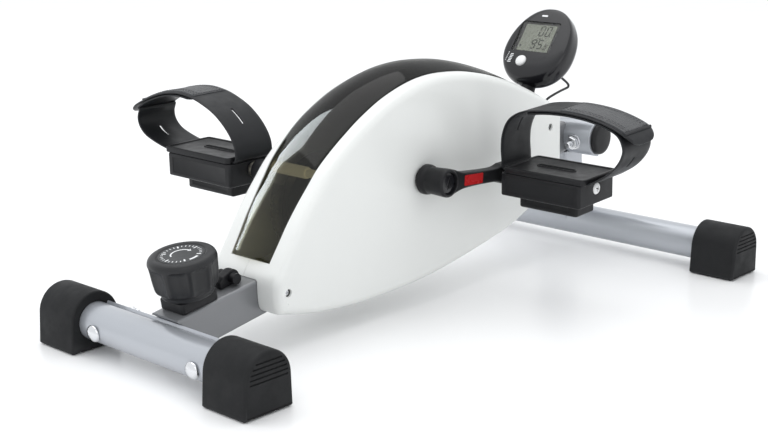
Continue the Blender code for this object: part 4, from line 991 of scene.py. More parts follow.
KN = MAIN_SQ / 2 + 11.3
kprof = [(0, 39.4), (10, 39.4), (22.9, 39.4), (23.3, 39.6), (23.7, 40.1), (24.3, 40.35), (27.5, 40.35), (29.3, 40.0),
         (30.8, 39.1), (31.9, 37.9), (32.6, 36.4), (32.95, 34.6), (33.0, 34.0), (33.0, 33.2), (32.9, 32.2), (32.8, 31.4),
         (32.5, 28.0), (32.1, 22.0), (31.6, 17.0), (31.1, 13.0), (30.6, 10.5), (30.1, 9.0), (29.4, 7.6), (28.2, 6.4),
         (26.6, 5.4), (25.6, 4.4), (25.2, 2.5), (25.0, 0.9), (24.6, 0.3), (5.5, 0.3), (5.5, 22.0), (0, 22.0)]
knob = turned("tension_dial", kprof, KNOBM, on_tube(KNOB_S, 0, KN), TN, 288, shape=knob_shape, angle=38)
own(knob, "knob", "black_plastic", "tension_knob")
KM = frame_matrix(on_tube(KNOB_S, 0, KN), TN, up=(0, 1, 0))


def dial(x, y, z):
    """Point on the dial; x across towards the user's right, y towards the housing."""
    return on_tube(KNOB_S + y, x, KN + z)


disc = turned("dial_disc", [(0, 0.35), (21.6, 0.35), (22.0, 0.1), (22.0, 0.0), (0, 0.0)], DISC,
              on_tube(KNOB_S, 0, KN + 39.42), TN, 96)
own(disc, "knob", "black_plastic")


def flat_mark(name, loop, z, mat, thick=0.12):
    return prism(name, loop, z, z + thick, mat, lambda a, b, t: dial(a, b, t), angle=30)


def ring_piece(r0, r1, a0, a1, n=24):
    return ([(r1 * math.cos(a0 + (a1 - a0) * i / n), r1 * math.sin(a0 + (a1 - a0) * i / n)) for i in range(n + 1)]
            + [(r0 * math.cos(a1 - (a1 - a0) * i / n), r0 * math.sin(a1 - (a1 - a0) * i / n)) for i in range(n + 1)])


marks = []
DZ = 39.78
R_ = math.radians
# curved arrow round the middle
marks.append(flat_mark("arrow_arc", ring_piece(9.2, 10.6, R_(-70), R_(95), 30), DZ, PRINT))
ah = [(-2.8, 9.9), (0.4, 7.5), (0.9, 12.3)]
marks.append(flat_mark("arrow_head", ah, DZ, PRINT))
# ticks and short bars round the rim, a scale without lettering
for k in range(26):
    a = R_(-150 + 300 * k / 25)
    big = k % 5 == 0
    r0, r1, w = (15.2, 19.6, 0.75) if big else (17.0, 19.6, 0.42)
    c, s = math.cos(a), math.sin(a)
    marks.append(flat_mark("tick", [(r0 * c - w * -s, r0 * s - w * c), (r1 * c - w * -s, r1 * s - w * c),
                                    (r1 * c + w * -s, r1 * s + w * c), (r0 * c + w * -s, r0 * s + w * c)], DZ, PRINT))
marks.append(flat_mark("rim_bar_a", ring_piece(17.0, 19.4, R_(165), R_(195), 10), DZ, PRINT))
prints = joined("dial_marks", marks, 30)
own(prints, "knob", None)

kb = rbox("knob_plinth", (44, 34, 10.7), BLACK,
          Matrix.Translation(on_tube(KNOB_S, 0, MAIN_SQ / 2 + 0.3 + 5.35)) @ TUBE_ROT.to_4x4(), 1.4, 3, corner=3.5)
stub = rod("stub", 5.0, 26, on_tube(KNOB_S, 0, MAIN_SQ / 2 + 6), TN, 32)
stub.data.materials.append(BLACK)
own(joined("knob_mount", [kb, stub]), "base", "black_plastic", "knob_base")

EYE_S = (-236.0 - MAIN_P[0]) / math.cos(SLOPE)
N0 = MAIN_SQ / 2 + 0.3
lug = [(EYE_S - 13, N0), (EYE_S + 13, N0), (EYE_S + 13, N0 + 4)] \
    + [(EYE_S + 4 + 8.6 * math.cos(a), N0 + 6.5 + 8.6 * math.sin(a) * 0.95)
       for a in [math.radians(4 * i) for i in range(31)]] + [(EYE_S - 8, N0 + 11.5), (EYE_S - 13, N0 + 7)]
lug = inset(inset(resample(lug, 90, closed=True)[:-1], 1.2), -1.2)
eye = prism("tether_lug", lug, -5.0, 5.0, BLACK, lambda a, b, t: on_tube(a, t, b), 1.2, 1.2, 3, angle=40)
c0 = on_tube(EYE_S + 3, -12, N0 + 7)
carve(eye, [turned("eyehole", [(0, 24), (5.4, 24), (5.4, 17.2), (4.6, 16.6), (4.1, 15.5), (4.0, 12), (4.1, 8.5), (4.6, 7.4),
                               (5.4, 6.8), (5.4, 0), (0, 0)], None, c0, (0, 1, 0), 40, up=(1, 0, 0))], angle=40)
own(eye, "base", "black_plastic", "tether_eyelet")

# ------------------------------------------------------------------ cranks, spindles, pedals, straps
STRAP_TOP = {
    "right": [(250.5, 56.0), (246.5, 62.2), (237.0, 69.0), (219.0, 75.4), (197.0, 79.8), (173.0, 81.5),
              (148.0, 80.7), (121.0, 77.0), (106.0, 70.5), (97.0, 61.5), (91.6, 48.0), (90.2, 34.0)],
    "left": [(270.5, 43.2), (261.5, 48.4), (252.5, 53.8), (240.0, 59.6), (224.0, 66.0), (204.0, 71.6), (182.0, 74.4),
             (161.0, 72.8), (143.0, 68.0), (124.0, 60.0), (109.0, 49.5), (98.5, 38.5), (92.5, 28.0)],
}
STRAP_LOW = {
    "right": [(204.0, 12.0), (214.0, 17.6), (224.0, 24.5), (233.0, 33.5), (239.3, 44.0), (240.6, 54.0)],
    "left": [(204.0, 11.4), (222.0, 15.6), (239.0, 21.8), (248.5, 30.5), (250.8, 40.0), (247.6, 49.0)],
}


def offset_open(pts, d):
    out = []
    for i, p in enumerate(pts):
        a, b = pts[max(i - 1, 0)], pts[min(i + 1, len(pts) - 1)]
        t = Vector((b[0] - a[0], b[1] - a[1])).normalized()
        out.append((p[0] - t.y * d, p[1] + t.x * d))
    return out


def strap_path(side):
    inn = PEDAL_IN
    top = STRAP_TOP[side]
    under = offset_open(top, 2.8)
    tail = [under[i] for i in (3, 4, 5, 6, 7)]
    mid = [(91.0, 20.0), (inn - 2.2, 14.2), (inn + 0.3, 10.9), (inn + 6.0, 10.4), (inn + 50.0, 10.4),
           (inn + 101.0, 10.4)]
    return top + mid + STRAP_LOW[side] + [(under[2][0] - 1.5, under[2][1] - 0.8)] + tail


def nearest(path, y, v, lo=0, hi=None):
    hi = hi or len(path)
    return min(range(lo, hi), key=lambda i: (path[i][0] - y) ** 2 + (path[i][1] - v) ** 2)


def crank_outline(px, pz, ang):
    d = Vector((math.cos(ang), math.sin(ang)))
    n = Vector((-d.y, d.x))
    rail = catmull([(4.0, 14.0), (10.0, 13.2), (18.0, 10.8), (27.0, 8.8), (40.0, 7.8), (62.0, 7.2), (80.0, 7.3), (88.0, 8.4),
                    (95.0, 10.6)], 4)
    up = [(CRANK_X + d.x * a + n.x * b, CRANK_Z + d.y * a + n.y * b) for a, b in rail]
    dn = [(CRANK_X + d.x * a - n.x * b, CRANK_Z + d.y * a - n.y * b) for a, b in reversed(rail)]
    eye = arc(px, pz, 12.0, ang + math.radians(106), ang - math.radians(106), 36)
    hub = arc(CRANK_X, CRANK_Z, 14.4, ang - math.radians(104), ang - math.radians(256), 24)
    return up + eye + dn + hub


def crank_and_pedal(side, sy):
    ang = -CRANK_TILT if sy < 0 else math.pi - CRANK_TILT
    dx, dz = math.cos(ang), math.sin(ang)
    px, pz = CRANK_X + CRANK_R * dx, CRANK_Z + CRANK_R * dz
    cx = (CRANK_X, 0, CRANK_Z)
    body_name = "pedal_" + side
    Y = (0, sy, 0)
    hub = turned("hub", [(0, HUB_OUT), (12.6, HUB_OUT), (13.8, HUB_OUT - 0.35), (14.6, HUB_OUT - 1.2), (14.9, HUB_OUT - 2.6),
                         (15.0, HUB_OUT - 5), (14.5, 72), (14.1, 62.5), (14.2, 61.6), (15.4, 60.4), (16.0, 58.0), (16.0, 54.2),
                         (15.4, HUB_IN), (0, HUB_IN)], BLACK, cx, Y, 72, up=(1, 0, 0))
    arm = prism("arm", crank_outline(px, pz, ang), sy * ARM_IN, sy * ARM_OUT, BLACK, lambda a, b, t: Vector((a, t, b)),
                1.6, 1.8, 4, angle=40)
    carve(hub, [arm], "UNION", angle=40)
    carve(hub, [rod("b1", AXLE_R_, 40, (CRANK_X, sy * 40, CRANK_Z), Y, 48),
                turned("b2", [(0, 10), (12.2, 10), (12.2, 4.2), (11.8, 3.8), (11.8, 0), (0, 0)], None,
                       (CRANK_X, sy * (HUB_OUT - 4), CRANK_Z), Y, 64, up=(1, 0, 0)),
                rod("b3", 7.0, 60, (px, sy * 60, pz), Y, 48)], angle=40)
    hub.name = "crank_lever_" + side
    own(hub, "crank", "black_plastic", "crank_arm_" + side)
    cap = turned("capx", [(0, 2.2), (6.0, 2.15), (9.6, 1.9), (11.0, 1.4), (11.5, 0.7), (11.5, 0.3), (0, 0.3)], GLOSSB,
                 (CRANK_X, sy * (HUB_OUT - 4), CRANK_Z), Y, 64, up=(1, 0, 0))
    sm = Matrix.Translation((CRANK_X, sy * (HUB_OUT - 1.9), CRANK_Z)) @ Matrix.Rotation(math.radians(16), 4, "Y")
    carve(cap, [rbox("slotc", (2.2, 2.6, 13.0), None, sm, 0.5, 2, corner=0.6)])
    cap.name = "crank_end_cap_" + side
    own(cap, "crank", "gloss_black", "crank_cap_" + side)
    # label film on the outer face of the lever
    d = Vector((dx, dz))
    n = Vector((-dz, dx))
    q = rounded_rect(31.0, 11.2, 1.2, 4, cx=42.5, cy=0.0)
    lab = prism("lever_label_" + side, [(CRANK_X + d.x * a + n.x * b, CRANK_Z + d.y * a + n.y * b) for a, b in q],
                sy * (ARM_OUT + 0.02), sy * (ARM_OUT + 0.22), RED, lambda a, b, t: Vector((a, t, b)))
    own(lab, "crank", None)

    # spindle
    spn = turned("spin", [(0, 184), (4.1, 184), (4.5, 183.4), (4.5, 172), (6.0, 171), (6.0, 92.6), (7.6, 92.5), (8.4, 91.8),
                          (8.4, 89.2), (7.8, 88.5), (8.8, 88.2), (9.4, 87.6), (9.4, 85.5), (8.9, 84.9), (6.7, 84.8), (6.7, 73.0),
                          (6.0, 72), (0, 72)], NUTM, (px, 0, pz), Y, 48, up=(1, 0, 0))
    fm = frame_matrix((px, 0, pz), Y, up=(1, 0, 0))
    hexa = [(9.0 * math.cos(math.radians(60 * k)), 9.0 * math.sin(math.radians(60 * k))) for k in range(6)]
    collar = prism("collar", hexa, 88.0, 92.2, NUTM, lambda a, b, t: fm @ Vector((a, b, t)), 0.6, 0.6, 2, angle=25)
    sp = joined("pedal_axle_" + side, [spn, collar], 30)
    own(sp, "crank", "steel", "pedal_spindle_" + side)

    ax = Matrix.Translation(Vector((px, 0, pz)))
    tilt = ax @ Matrix.Rotation(-TIP[side], 4, "Y") @ ax.inverted()
    ym = sy * (PEDAL_IN + PEDAL_LEN / 2)

    def T(x, y, z, rot=None):
        m = tilt @ Matrix.Translation(Vector((px + x, y, pz + z)))
        return m @ rot if rot else m

    bh = BLOCK_TOP - BLOCK_LOW
    block = rbox("pedal_shell_" + side, (PEDAL_W, PEDAL_LEN, bh), BLACK, T(0, ym, (BLOCK_TOP + BLOCK_LOW) / 2), 1.6, 4, corner=3.0,
                 angle=40)
    kh = -KEEL_LOW - 4
    keel = rbox("keel", (34, 74, kh), None, T(0, ym, KEEL_LOW + kh / 2), 2.2, 4, corner=3.5)
    carve(block, [keel], "UNION", angle=40)
    tools = [rod("bore", 6.6, PEDAL_LEN + 20, (px, sy * (PEDAL_IN - 10), pz), Y, 40)]
    # shallow moulding lines: a panel on each long side of the block and of the keel
    for sx in (-1, 1):
        tools.append(rbox("panel", (1.2, PEDAL_LEN - 16, bh - 8), None, T(sx * (PEDAL_W / 2 + 0.15), ym, (BLOCK_TOP + BLOCK_LOW) / 2 - 0.5),
                          0.35, 2, corner=0.35))
        tools.append(rbox("keelp", (1.2, 58, 8.5), None, T(sx * (17 + 0.15), ym, -22.0), 0.35, 2, corner=0.35))
    # recess round the end screw
    for tl in tools:
        if tl.name.startswith("bore"):
            tl.data.transform(Matrix.Identity(4))
    tools.append(turned("screw_seat", [(0, 4), (7.4, 4), (7.0, -1.4), (0, -1.4)], None,
                        (px, sy * (PEDAL_IN + PEDAL_LEN), pz), Y, 48, up=(1, 0, 0)))
    carve(block, tools, angle=40)
    own(block, body_name, "black_plastic", "pedal_body_" + side)

    # tread: plate with a raised border, a long slot and side rails over the strap channel
    w, top = PEDAL_W / 2, TREAD_TOP
    low = BLOCK_TOP + 0.3
    L0 = PEDAL_LEN + 2
    yt = sy * (PEDAL_IN + 3 + L0 / 2)
    outer = rounded_rect(PEDAL_W, L0, 5.0, 6)
    tm = T(0, yt, 0)
    loops = []
    def lay(ins, z):
        o = inset(outer, ins) if ins else outer
        loops.append([tm @ Vector((a, b, z)) for a, b in o])
    lay(0.5, low)
    lay(0.0, low + 0.5)
    lay(0.0, top - 1.4)
    lay(0.25, top - 0.7)
    lay(0.7, top - 0.2)
    lay(1.3, top)
    lay(3.0, top)
    lay(3.5, top - 0.25)
    lay(3.8, top - 1.0)
    lay(4.3, top - 1.25)
    tread = loft("pedal_top_" + side, loops, BLACK, angle=38)
    tools = [rbox("channel", (PEDAL_W - 9, L0 + 8, 2.6), None, T(0, yt, low + 1.3 - 0.1), 0.3, 1),
             rbox("slot_", (5.4, 46, 4.2), None, T(0, ym, top), 1.0, 3, corner=2.6)]
    carve(tread, tools, angle=38, self_hit=True)
    own(tread, body_name, "black_plastic", "pedal_tread_" + side)
    # raised lip of the slot
    lip = rounded_rect(8.6, 49.4, 4.2, 6)
    lin = rounded_rect(6.0, 46.8, 2.9, 6)
    lo_ = [[T(0, ym, 0) @ Vector((a, b, z)) for a, b in lp] for lp, z in
           ((lip, top - 1.3), (inset(lip, 0.35), top - 0.35), (inset(lin, -0.35), top - 0.35), (lin, top - 1.3))]
    nn = len(lip)
    vv = [q for lp in lo_ for q in lp]
    ff = []
    for r in range(4):
        for k in range(nn):
            a0, b0 = r * nn, ((r + 1) % 4) * nn
            ff.append([a0 + k, a0 + (k + 1) % nn, b0 + (k + 1) % nn, b0 + k])
    own(new_mesh("tread_slot_lip_" + side, vv, ff, BLACK, 40), body_name, "black_plastic")

    # end screw with a cross recess
    es = turned("es", [(0, 2.1), (2.4, 2.0), (4.4, 1.6), (5.7, 0.95), (6.2, 0.3), (6.2, 0.0), (5.0, -0.2), (5.0, -4.5), (0, -4.5)],
                BUTTON, (px, sy * (PEDAL_IN + PEDAL_LEN - 0.6), pz), Y, 48, up=(1, 0, 0))
    if side == "left":
        pass
    ym2 = sy * (PEDAL_IN + PEDAL_LEN + 1.3)
    rr_ = Matrix.Rotation(math.radians(20), 4, "Y")
    carve(es, [rbox("x1", (6.2, 2.6, 1.2), None, Matrix.Translation((px, ym2, pz)) @ rr_, 0.25, 1),
               rbox("x2", (1.2, 2.6, 6.2), None, Matrix.Translation((px, ym2, pz)) @ rr_, 0.25, 1)])
    for k, dims in enumerate(((4.6, 0.5, 0.95), (0.95, 0.5, 4.6))):
        own(rbox("pedal_screw_cross_%d_%s" % (k, side), dims, BLACK,
                 Matrix.Translation((px, sy * (PEDAL_IN + PEDAL_LEN + 0.55 + 0.02 * k), pz)) @ rr_, 0.1, 1), body_name, "black_plastic")
    es.name = "pedal_screw_" + side
    own(es, body_name, "zinc_plate", "pedal_end_screw_" + side)

    # strap
    path = catmull(strap_path(side), 10)
    dense = resample(path, 420)
    tot = 0.0
    dist = [0.0]
    for a, b in zip(dense, dense[1:]):
        tot += (Vector(b) - Vector(a)).length
        dist.append(tot)
    if side == "right":
        s1 = (nearest(dense, 99.5, 64.5, 60, 250), nearest(dense, 91.9, 49.0, 60, 250))
        s2 = (nearest(dense, 229.5, 29.5, 250), nearest(dense, 237.5, 40.0, 250))
        pad_ends = (nearest(dense, 243.0, 69.8, 0, 120), nearest(dense, 163.0, 82.0, 0, 200))
    else:
        s1 = (nearest(dense, 124.0, 60.2, 60, 250), nearest(dense, 106.0, 46.5, 60, 250))
        s2 = (nearest(dense, 229.0, 18.0, 250), nearest(dense, 245.5, 26.5, 250))
        pad_ends = (nearest(dense, 243.5, 62.2, 0, 120), nearest(dense, 158.0, 72.3, 0, 200))
    cols = [-26, -25.4, -22, -17, -12, -7, -3.5, -1.5, 1.5, 3.5, 7, 12, 17, 22, 25.4, 26]

    def half_at(s):
        tip = 21.0
        if s < tip:
            return 9.0 + 17.0 * math.sqrt(max(0.0, 1 - ((tip - s) / tip) ** 2.0))
        end = tot - s
        if end < 5.0:
            return 26.0 - 4.0 * (1 - end / 5.0) ** 2
        return 26.0

    half_t = STRAP_T / 2
    V, Fc = [], []
    rows_t, rows_b = [], []
    nr = len(dense)
    for i in range(nr):
        a, b = dense[max(i - 1, 0)], dense[min(i + 1, nr - 1)]
        t = Vector((b[0] - a[0], b[1] - a[1])).normalized()
        nx, nz = -t.y, t.x
        hw = half_at(dist[i]) / 26.0
        rt, rb = [], []
        for c in cols:
            th = half_t * (0.55 if abs(c) == 26 else 1.0)
            x = c * hw
            for sgn, rw in ((1, rt), (-1, rb)):
                p = Vector((px + x, sy * (dense[i][0] + nx * th * sgn), pz + dense[i][1] + nz * th * sgn))
                V.append(tilt @ p)
                rw.append(len(V) - 1)
        rows_t.append(rt)
        rows_b.append(rb)
    mid_c = cols.index(-1.5)

    def is_hole(i, k):
        return k == mid_c and (min(s1) <= i < max(s1) or min(s2) <= i < max(s2))

    nc = len(cols) - 1
    for i in range(nr - 1):
        for k in range(nc):
            if is_hole(i, k):
                if not is_hole(i - 1, k):
                    Fc.append([rows_t[i][k], rows_t[i][k + 1], rows_b[i][k + 1], rows_b[i][k]])
                if not is_hole(i + 1, k):
                    Fc.append([rows_t[i + 1][k + 1], rows_t[i + 1][k], rows_b[i + 1][k], rows_b[i + 1][k + 1]])
                Fc.append([rows_t[i][k], rows_b[i][k], rows_b[i + 1][k], rows_t[i + 1][k]])
                Fc.append([rows_t[i][k + 1], rows_t[i + 1][k + 1], rows_b[i + 1][k + 1], rows_b[i][k + 1]])
                continue
            Fc.append([rows_t[i][k], rows_t[i][k + 1], rows_t[i + 1][k + 1], rows_t[i + 1][k]])
            Fc.append([rows_b[i][k], rows_b[i + 1][k], rows_b[i + 1][k + 1], rows_b[i][k + 1]])
        Fc.append([rows_t[i][0], rows_t[i + 1][0], rows_b[i + 1][0], rows_b[i][0]])
        Fc.append([rows_t[i][nc], rows_b[i][nc], rows_b[i + 1][nc], rows_t[i + 1][nc]])
    for k in range(nc):
        Fc.append([rows_t[0][k + 1], rows_t[0][k], rows_b[0][k], rows_b[0][k + 1]])
        Fc.append([rows_t[-1][k], rows_t[-1][k + 1], rows_b[-1][k + 1], rows_b[-1][k]])
    st = new_mesh("foot_strap_" + side, V, Fc, STRAP, 50)
    own(st, body_name, "strap_web", "pedal_strap_" + side)

    # textile pad over the outside of the strap, hemmed edge, two rows of stitches
    i0, i1 = pad_ends
    # outward side of the path: away from the pedal
    def out_normal(i):
        a, b = dense[max(i - 1, 0)], dense[min(i + 1, nr - 1)]
        t = Vector((b[0] - a[0], b[1] - a[1])).normalized()
        nx, nz = -t.y, t.x
        if nz < 0:
            nx, nz = -nx, -nz
        return nx, nz

    def pad_point(i, c, h):
        nx, nz = out_normal(i)
        p = Vector((px + c, sy * (dense[i][0] + nx * h), pz + dense[i][1] + nz * h))
        return tilt @ p

    pc = [-23.0, -22.4, -21.0, -16, -10, -5, 0, 5, 10, 16, 21.0, 22.4, 23.0]
    PV, PF, UV = [], [], []
    idx = list(range(i0, i1 + 1))
    for j, i in enumerate(idx):
        e = min(dist[i] - dist[i0], dist[i1] - dist[i])
        fade = min(1.0, 0.35 + 0.65 * e / 2.0)
        for c in pc:
            edge = 0.45 if abs(c) == 23.0 else (0.85 if abs(c) == 22.4 else 1.0)
            h = half_t + 1.5 * fade * edge
            near = min(abs(abs(c) - 16.0), 3.0)
            PV.append(pad_point(i, c, h))
    np_ = len(pc)
    base_off = len(PV)
    for i in idx:
        for c in pc:
            PV.append(pad_point(i, c, half_t + 0.05))
    for j in range(len(idx) - 1):
        for k in range(np_ - 1):
            a = j * np_ + k
            PF.append([a, a + 1, a + 1 + np_, a + np_])
            PF.append([base_off + a, base_off + a + np_, base_off + a + 1 + np_, base_off + a + 1])
        a = j * np_
        PF.append([a, a + np_, base_off + a + np_, base_off + a])
        a = j * np_ + np_ - 1
        PF.append([a + np_, a, base_off + a, base_off + a + np_])
    for k in range(np_ - 1):
        PF.append([k + 1, k, base_off + k, base_off + k + 1])
        a = (len(idx) - 1) * np_ + k
        PF.append([a, a + 1, base_off + a + 1, base_off + a])
    pad = new_mesh("strap_pad_" + side, PV, PF, PAD, 50)
    # flat layout coordinates in metres, for the weave
    uv = pad.data.uv_layers.new(name="UVMap")
    for lp in pad.data.loops:
        co = pad.data.vertices[lp.vertex_index].co
        uv.data[lp.index].uv = (co.x, co.y * 1.05)
    own(pad, body_name, "strap_web")

    stitches = []
    def stitch(i, c, along_len, across):
        nx, nz = out_normal(i)
        a, b = dense[max(i - 1, 0)], dense[min(i + 1, nr - 1)]
        t = Vector((b[0] - a[0], b[1] - a[1])).normalized()
        p = pad_point(i, c, half_t + 1.62)
        q0 = tilt.to_3x3() @ Vector((0, sy * t.x, t.y))
        q1 = tilt.to_3x3() @ Vector((1, 0, 0))
        n_ = tilt.to_3x3() @ Vector((0, sy * nx, nz))
        d_ = q0 if not across else q1
        e_ = q1 if not across else q0
        L, W, H = along_len / 2, 0.42, 0.32
        vs = []
        for uu in (-1, -0.55, 0, 0.55, 1):
            k = math.sqrt(max(0, 1 - (uu * 0.96) ** 2))
            for ww in (-1, 0, 1):
                vs.append(p + d_ * (uu * L) + e_ * (ww * W * (0.5 + 0.5 * k)) + n_ * ((0.35 + (H if ww == 0 else 0)) * k - 0.25))
        fs = []
        for r in range(4):
            for w_ in range(2):
                a_ = r * 3 + w_
                fs.append([a_, a_ + 1, a_ + 4, a_ + 3])
        off = len(SV)
        SV.extend(vs)
        for f in fs:
            SF.append([off + x for x in f])

    SV, SF = [], []
    s = dist[i0] + 3.0
    while s < dist[i1] - 2.0:
        i = min(range(i0, i1), key=lambda q: abs(dist[q] - s))
        for c in (-18.5, -14.5, 14.5, 18.5):
            stitch(i, c, 2.5, False)
        s += 3.9
    for i in (nearest(dense, *dense[i0], 0, 120) + 1, i1 - 1):
        c = -21.0
        while c < 21.5:
            stitch(i, c, 2.4, True)
            c += 3.6
    so = new_mesh("strap_stitching_" + side, SV, SF, THREAD, 60, weld=False)
    own(so, body_name, "strap_web")
    # folded binding across the outer end of the pad
    fold = []
    n0_ = i0
    FV, FF = [], []
    prof_f = [(-1.6, 0.0), (-1.6, 0.9), (-1.0, 1.7), (0.0, 2.0), (1.0, 1.7), (1.6, 0.9), (1.6, 0.0)]
    a, b = dense[max(n0_ - 1, 0)], dense[n0_ + 1]
    t = Vector((b[0] - a[0], b[1] - a[1])).normalized()
    nx, nz = out_normal(n0_)
    for c in (-24.4, -24.0, -12, 0, 12, 24.0, 24.4):
        sc = 0.6 if abs(c) == 24.4 else 1.0
        for u_, h_ in prof_f:
            FV.append(tilt @ Vector((px + c, sy * (dense[n0_][0] + t.x * u_ * sc + nx * (half_t + h_ * sc)),
                                     pz + dense[n0_][1] + t.y * u_ * sc + nz * (half_t + h_ * sc))))
    m_ = len(prof_f)
    for r in range(6):
        for k in range(m_):
            a_, b_ = r * m_ + k, r * m_ + (k + 1) % m_
            FF.append([a_, b_, b_ + m_, a_ + m_])
    FF.append(list(range(m_)))
    FF.append([6 * m_ + k for k in range(m_)][::-1])
    own(new_mesh("strap_binding_" + side, FV, FF, STRAP, 40), body_name, "strap_web")


AXLE_R_ = 8.3
for side, sy in SIDES:
    crank_and_pedal(side, sy)

# ------------------------------------------------------------------ display console
def egg(w, h, n=96):
    out = []
    for i in range(n):
        a = 2 * math.pi * i / n
        k = 2.16
        c, s = math.cos(a), math.sin(a)
        r = (abs(c) ** k + abs(s) ** k) ** (-1 / k)
        x, y = r * c, r * s
        out.append((x * w / 2 * EGG(y), y * h / 2))
    return out


def EGG(y):
    return 1 - 0.10 * y


def con_loft(name, rings, mat, angle=35, caps=(True, True)):
    """Rings of (width, height, depth, chin); the chin draws the lower border up the face."""
    out = []
    for w, h, n, chin in rings:
        ring = []
        for a, b in egg(w, h):
            f = max(0.0, -b / (h / 2))
            ring.append(con(a * (1 - 0.05 * f * chin / 12.0), b + chin * f ** 1.6, n))
        out.append(ring)
    return loft(name, out, mat, caps, angle)


W, H = CONSOLE_W, CONSOLE_H
front = con_loft("console_face", [
    (W - 0.8, H - 0.8, -17.0, 0.0), (W - 0.2, H - 0.2, -16.6, 0.0), (W, H, -13.0, 0.0), (W, H, -10.0, 0.6),
    (W, H, -8.0, 1.5), (W - 0.2, H - 0.2, -6.2, 2.9), (W - 0.6, H - 0.6, -4.6, 4.6), (W - 1.4, H - 1.4, -3.2, 6.6),
    (W - 2.8, H - 2.8, -2.0, 8.6), (W - 5.0, H - 5.0, -1.1, 10.3), (W - 8.0, H - 8.0, -0.5, 11.4),
    (W - 13.0, H - 13.0, -0.2, 11.2), (W - 21.0, H - 21.0, -0.05, 9.0), (W - 34.0, H - 34.0, 0.0, 5.0)], GLOSSB)


def cbox(name, w, h, d, u, v, n, r=1.0, corner=2.0, mat=None, seg=3):
    m = Matrix((CR, CU, CN)).transposed().to_4x4()
    m.translation = con(u, v, n)
    return rbox(name, (w, h, d), mat, m, r, seg, corner=corner)


carve(front, [cbox("lens_seat", 55.4, 41.4, 8, -5, 9, 1.9, 0.3, 2.2),
              cbox("lcd_well", 49, 36, 8, -5, 9, -1.4, 0.2, 1.0),
              turned("key_hole", [(0, 4), (8.2, 4), (7.5, 0.0), (7.2, -0.8), (7.2, -6.5), (0, -6.5)], None, con(-11.5, -25, 0), CN, 64)])
own(front, "base", "black_plastic", "console_front")
back = con_loft("console_rear", [
    (W - 2.6, H - 2.6, -17.3, 0.0), (W - 2.0, H - 2.0, -17.7, 0.0), (W - 2.1, H - 2.1, -20.0, 0.0),
    (W - 3.6, H - 3.6, -22.6, 0.0), (W - 7.0, H - 7.0, -25.4, 0.0), (W - 12.0, H - 12.0, -27.9, 0.0),
    (W - 19.0, H - 19.0, -29.8, 0.0), (W - 28.0, H - 28.0, -30.8, 0.0), (W - 36.0, H - 36.0, -31.0, 0.0)], GLOSSB)
own(back, "base", "black_plastic", "console_back")
stalk_pts = resample(catmull([tuple(con(0, -26, -24)), (248.0, 0.0, 208.0), (241.5, 0.0, 200.5), (236.0, 0.0, 191.0)], 8), 30)


def tube_along(name, pts, rad, mat, sides=24, caps=True):
    """Round section carried along points; rad is a number or a function of 0..1."""
    pts = [Vector(p) for p in pts]
    loops = []
    prev = None
    for i, p in enumerate(pts):
        t = (pts[min(i + 1, len(pts) - 1)] - pts[max(i - 1, 0)]).normalized()
        ref = prev if prev is not None else (Vector((0, 1, 0)) if abs(t.y) < 0.9 else Vector((1, 0, 0)))
        x = (ref - t * ref.dot(t)).normalized()
        prev = x
        y = t.cross(x)
        r = rad(i / (len(pts) - 1)) if callable(rad) else rad
        loops.append([p + x * (r * math.cos(2 * math.pi * k / sides)) + y * (r * math.sin(2 * math.pi * k / sides))
                      for k in range(sides)])
    return loft(name, loops, mat, (caps, caps), 40)


stalk = tube_along("console_stalk", stalk_pts, lambda f: 10.5 - 2.2 * math.sin(math.pi * min(1, f * 1.1)), BLACK, 40)
own(stalk, "base", "black_plastic")

# display: dark mask, grey panel with plain digits, clear lens
mask = cbox("display_mask", 54.2, 40.2, 0.6, -5, 9, -2.35, 0.1, 1.6, GLOSSB, 1)
own(mask, "base", "black_plastic")
PANEL = (-4.2, 8.0, 44.5, 36.6)
panel = cbox("display_panel", PANEL[2], PANEL[3], 0.3, PANEL[0], PANEL[1], -1.9, 0.05, 0.6, LCD, 1)
own(panel, "base", "display_window")


def seg_digit(cx, cy, w, h, on, t, slant=0.12):
    """Seven-segment digit as thin bars; on is a set of segment letters."""
    g = t * 0.25
    bars = {
        "a": ((-w / 2 + g, h / 2), (w / 2 - g, h / 2)), "g": ((-w / 2 + g, 0), (w / 2 - g, 0)),
        "d": ((-w / 2 + g, -h / 2), (w / 2 - g, -h / 2)), "f": ((-w / 2, h / 2 - g), (-w / 2, g)),
        "b": ((w / 2, h / 2 - g), (w / 2, g)), "e": ((-w / 2, -g), (-w / 2, -h / 2 + g)),
        "c": ((w / 2, -g), (w / 2, -h / 2 + g))}
    out = []
    for s_ in on:
        (x0, y0), (x1, y1) = bars[s_]
        d = Vector((x1 - x0, y1 - y0)).normalized()
        n = Vector((-d.y, d.x)) * t / 2
        e = d * t * 0.35
        pts = [Vector((x0, y0)) - e * 0, Vector((x0, y0)) + e + n, Vector((x1, y1)) - e + n, Vector((x1, y1)),
               Vector((x1, y1)) - e - n, Vector((x0, y0)) + e - n]
        loop = [(cx + p.x + slant * p.y, cy + p.y) for p in pts]
        out.append(prism("seg", loop, -1.74, -1.66, INK, lambda a, b, t_: con(a, b, t_)))
    return out


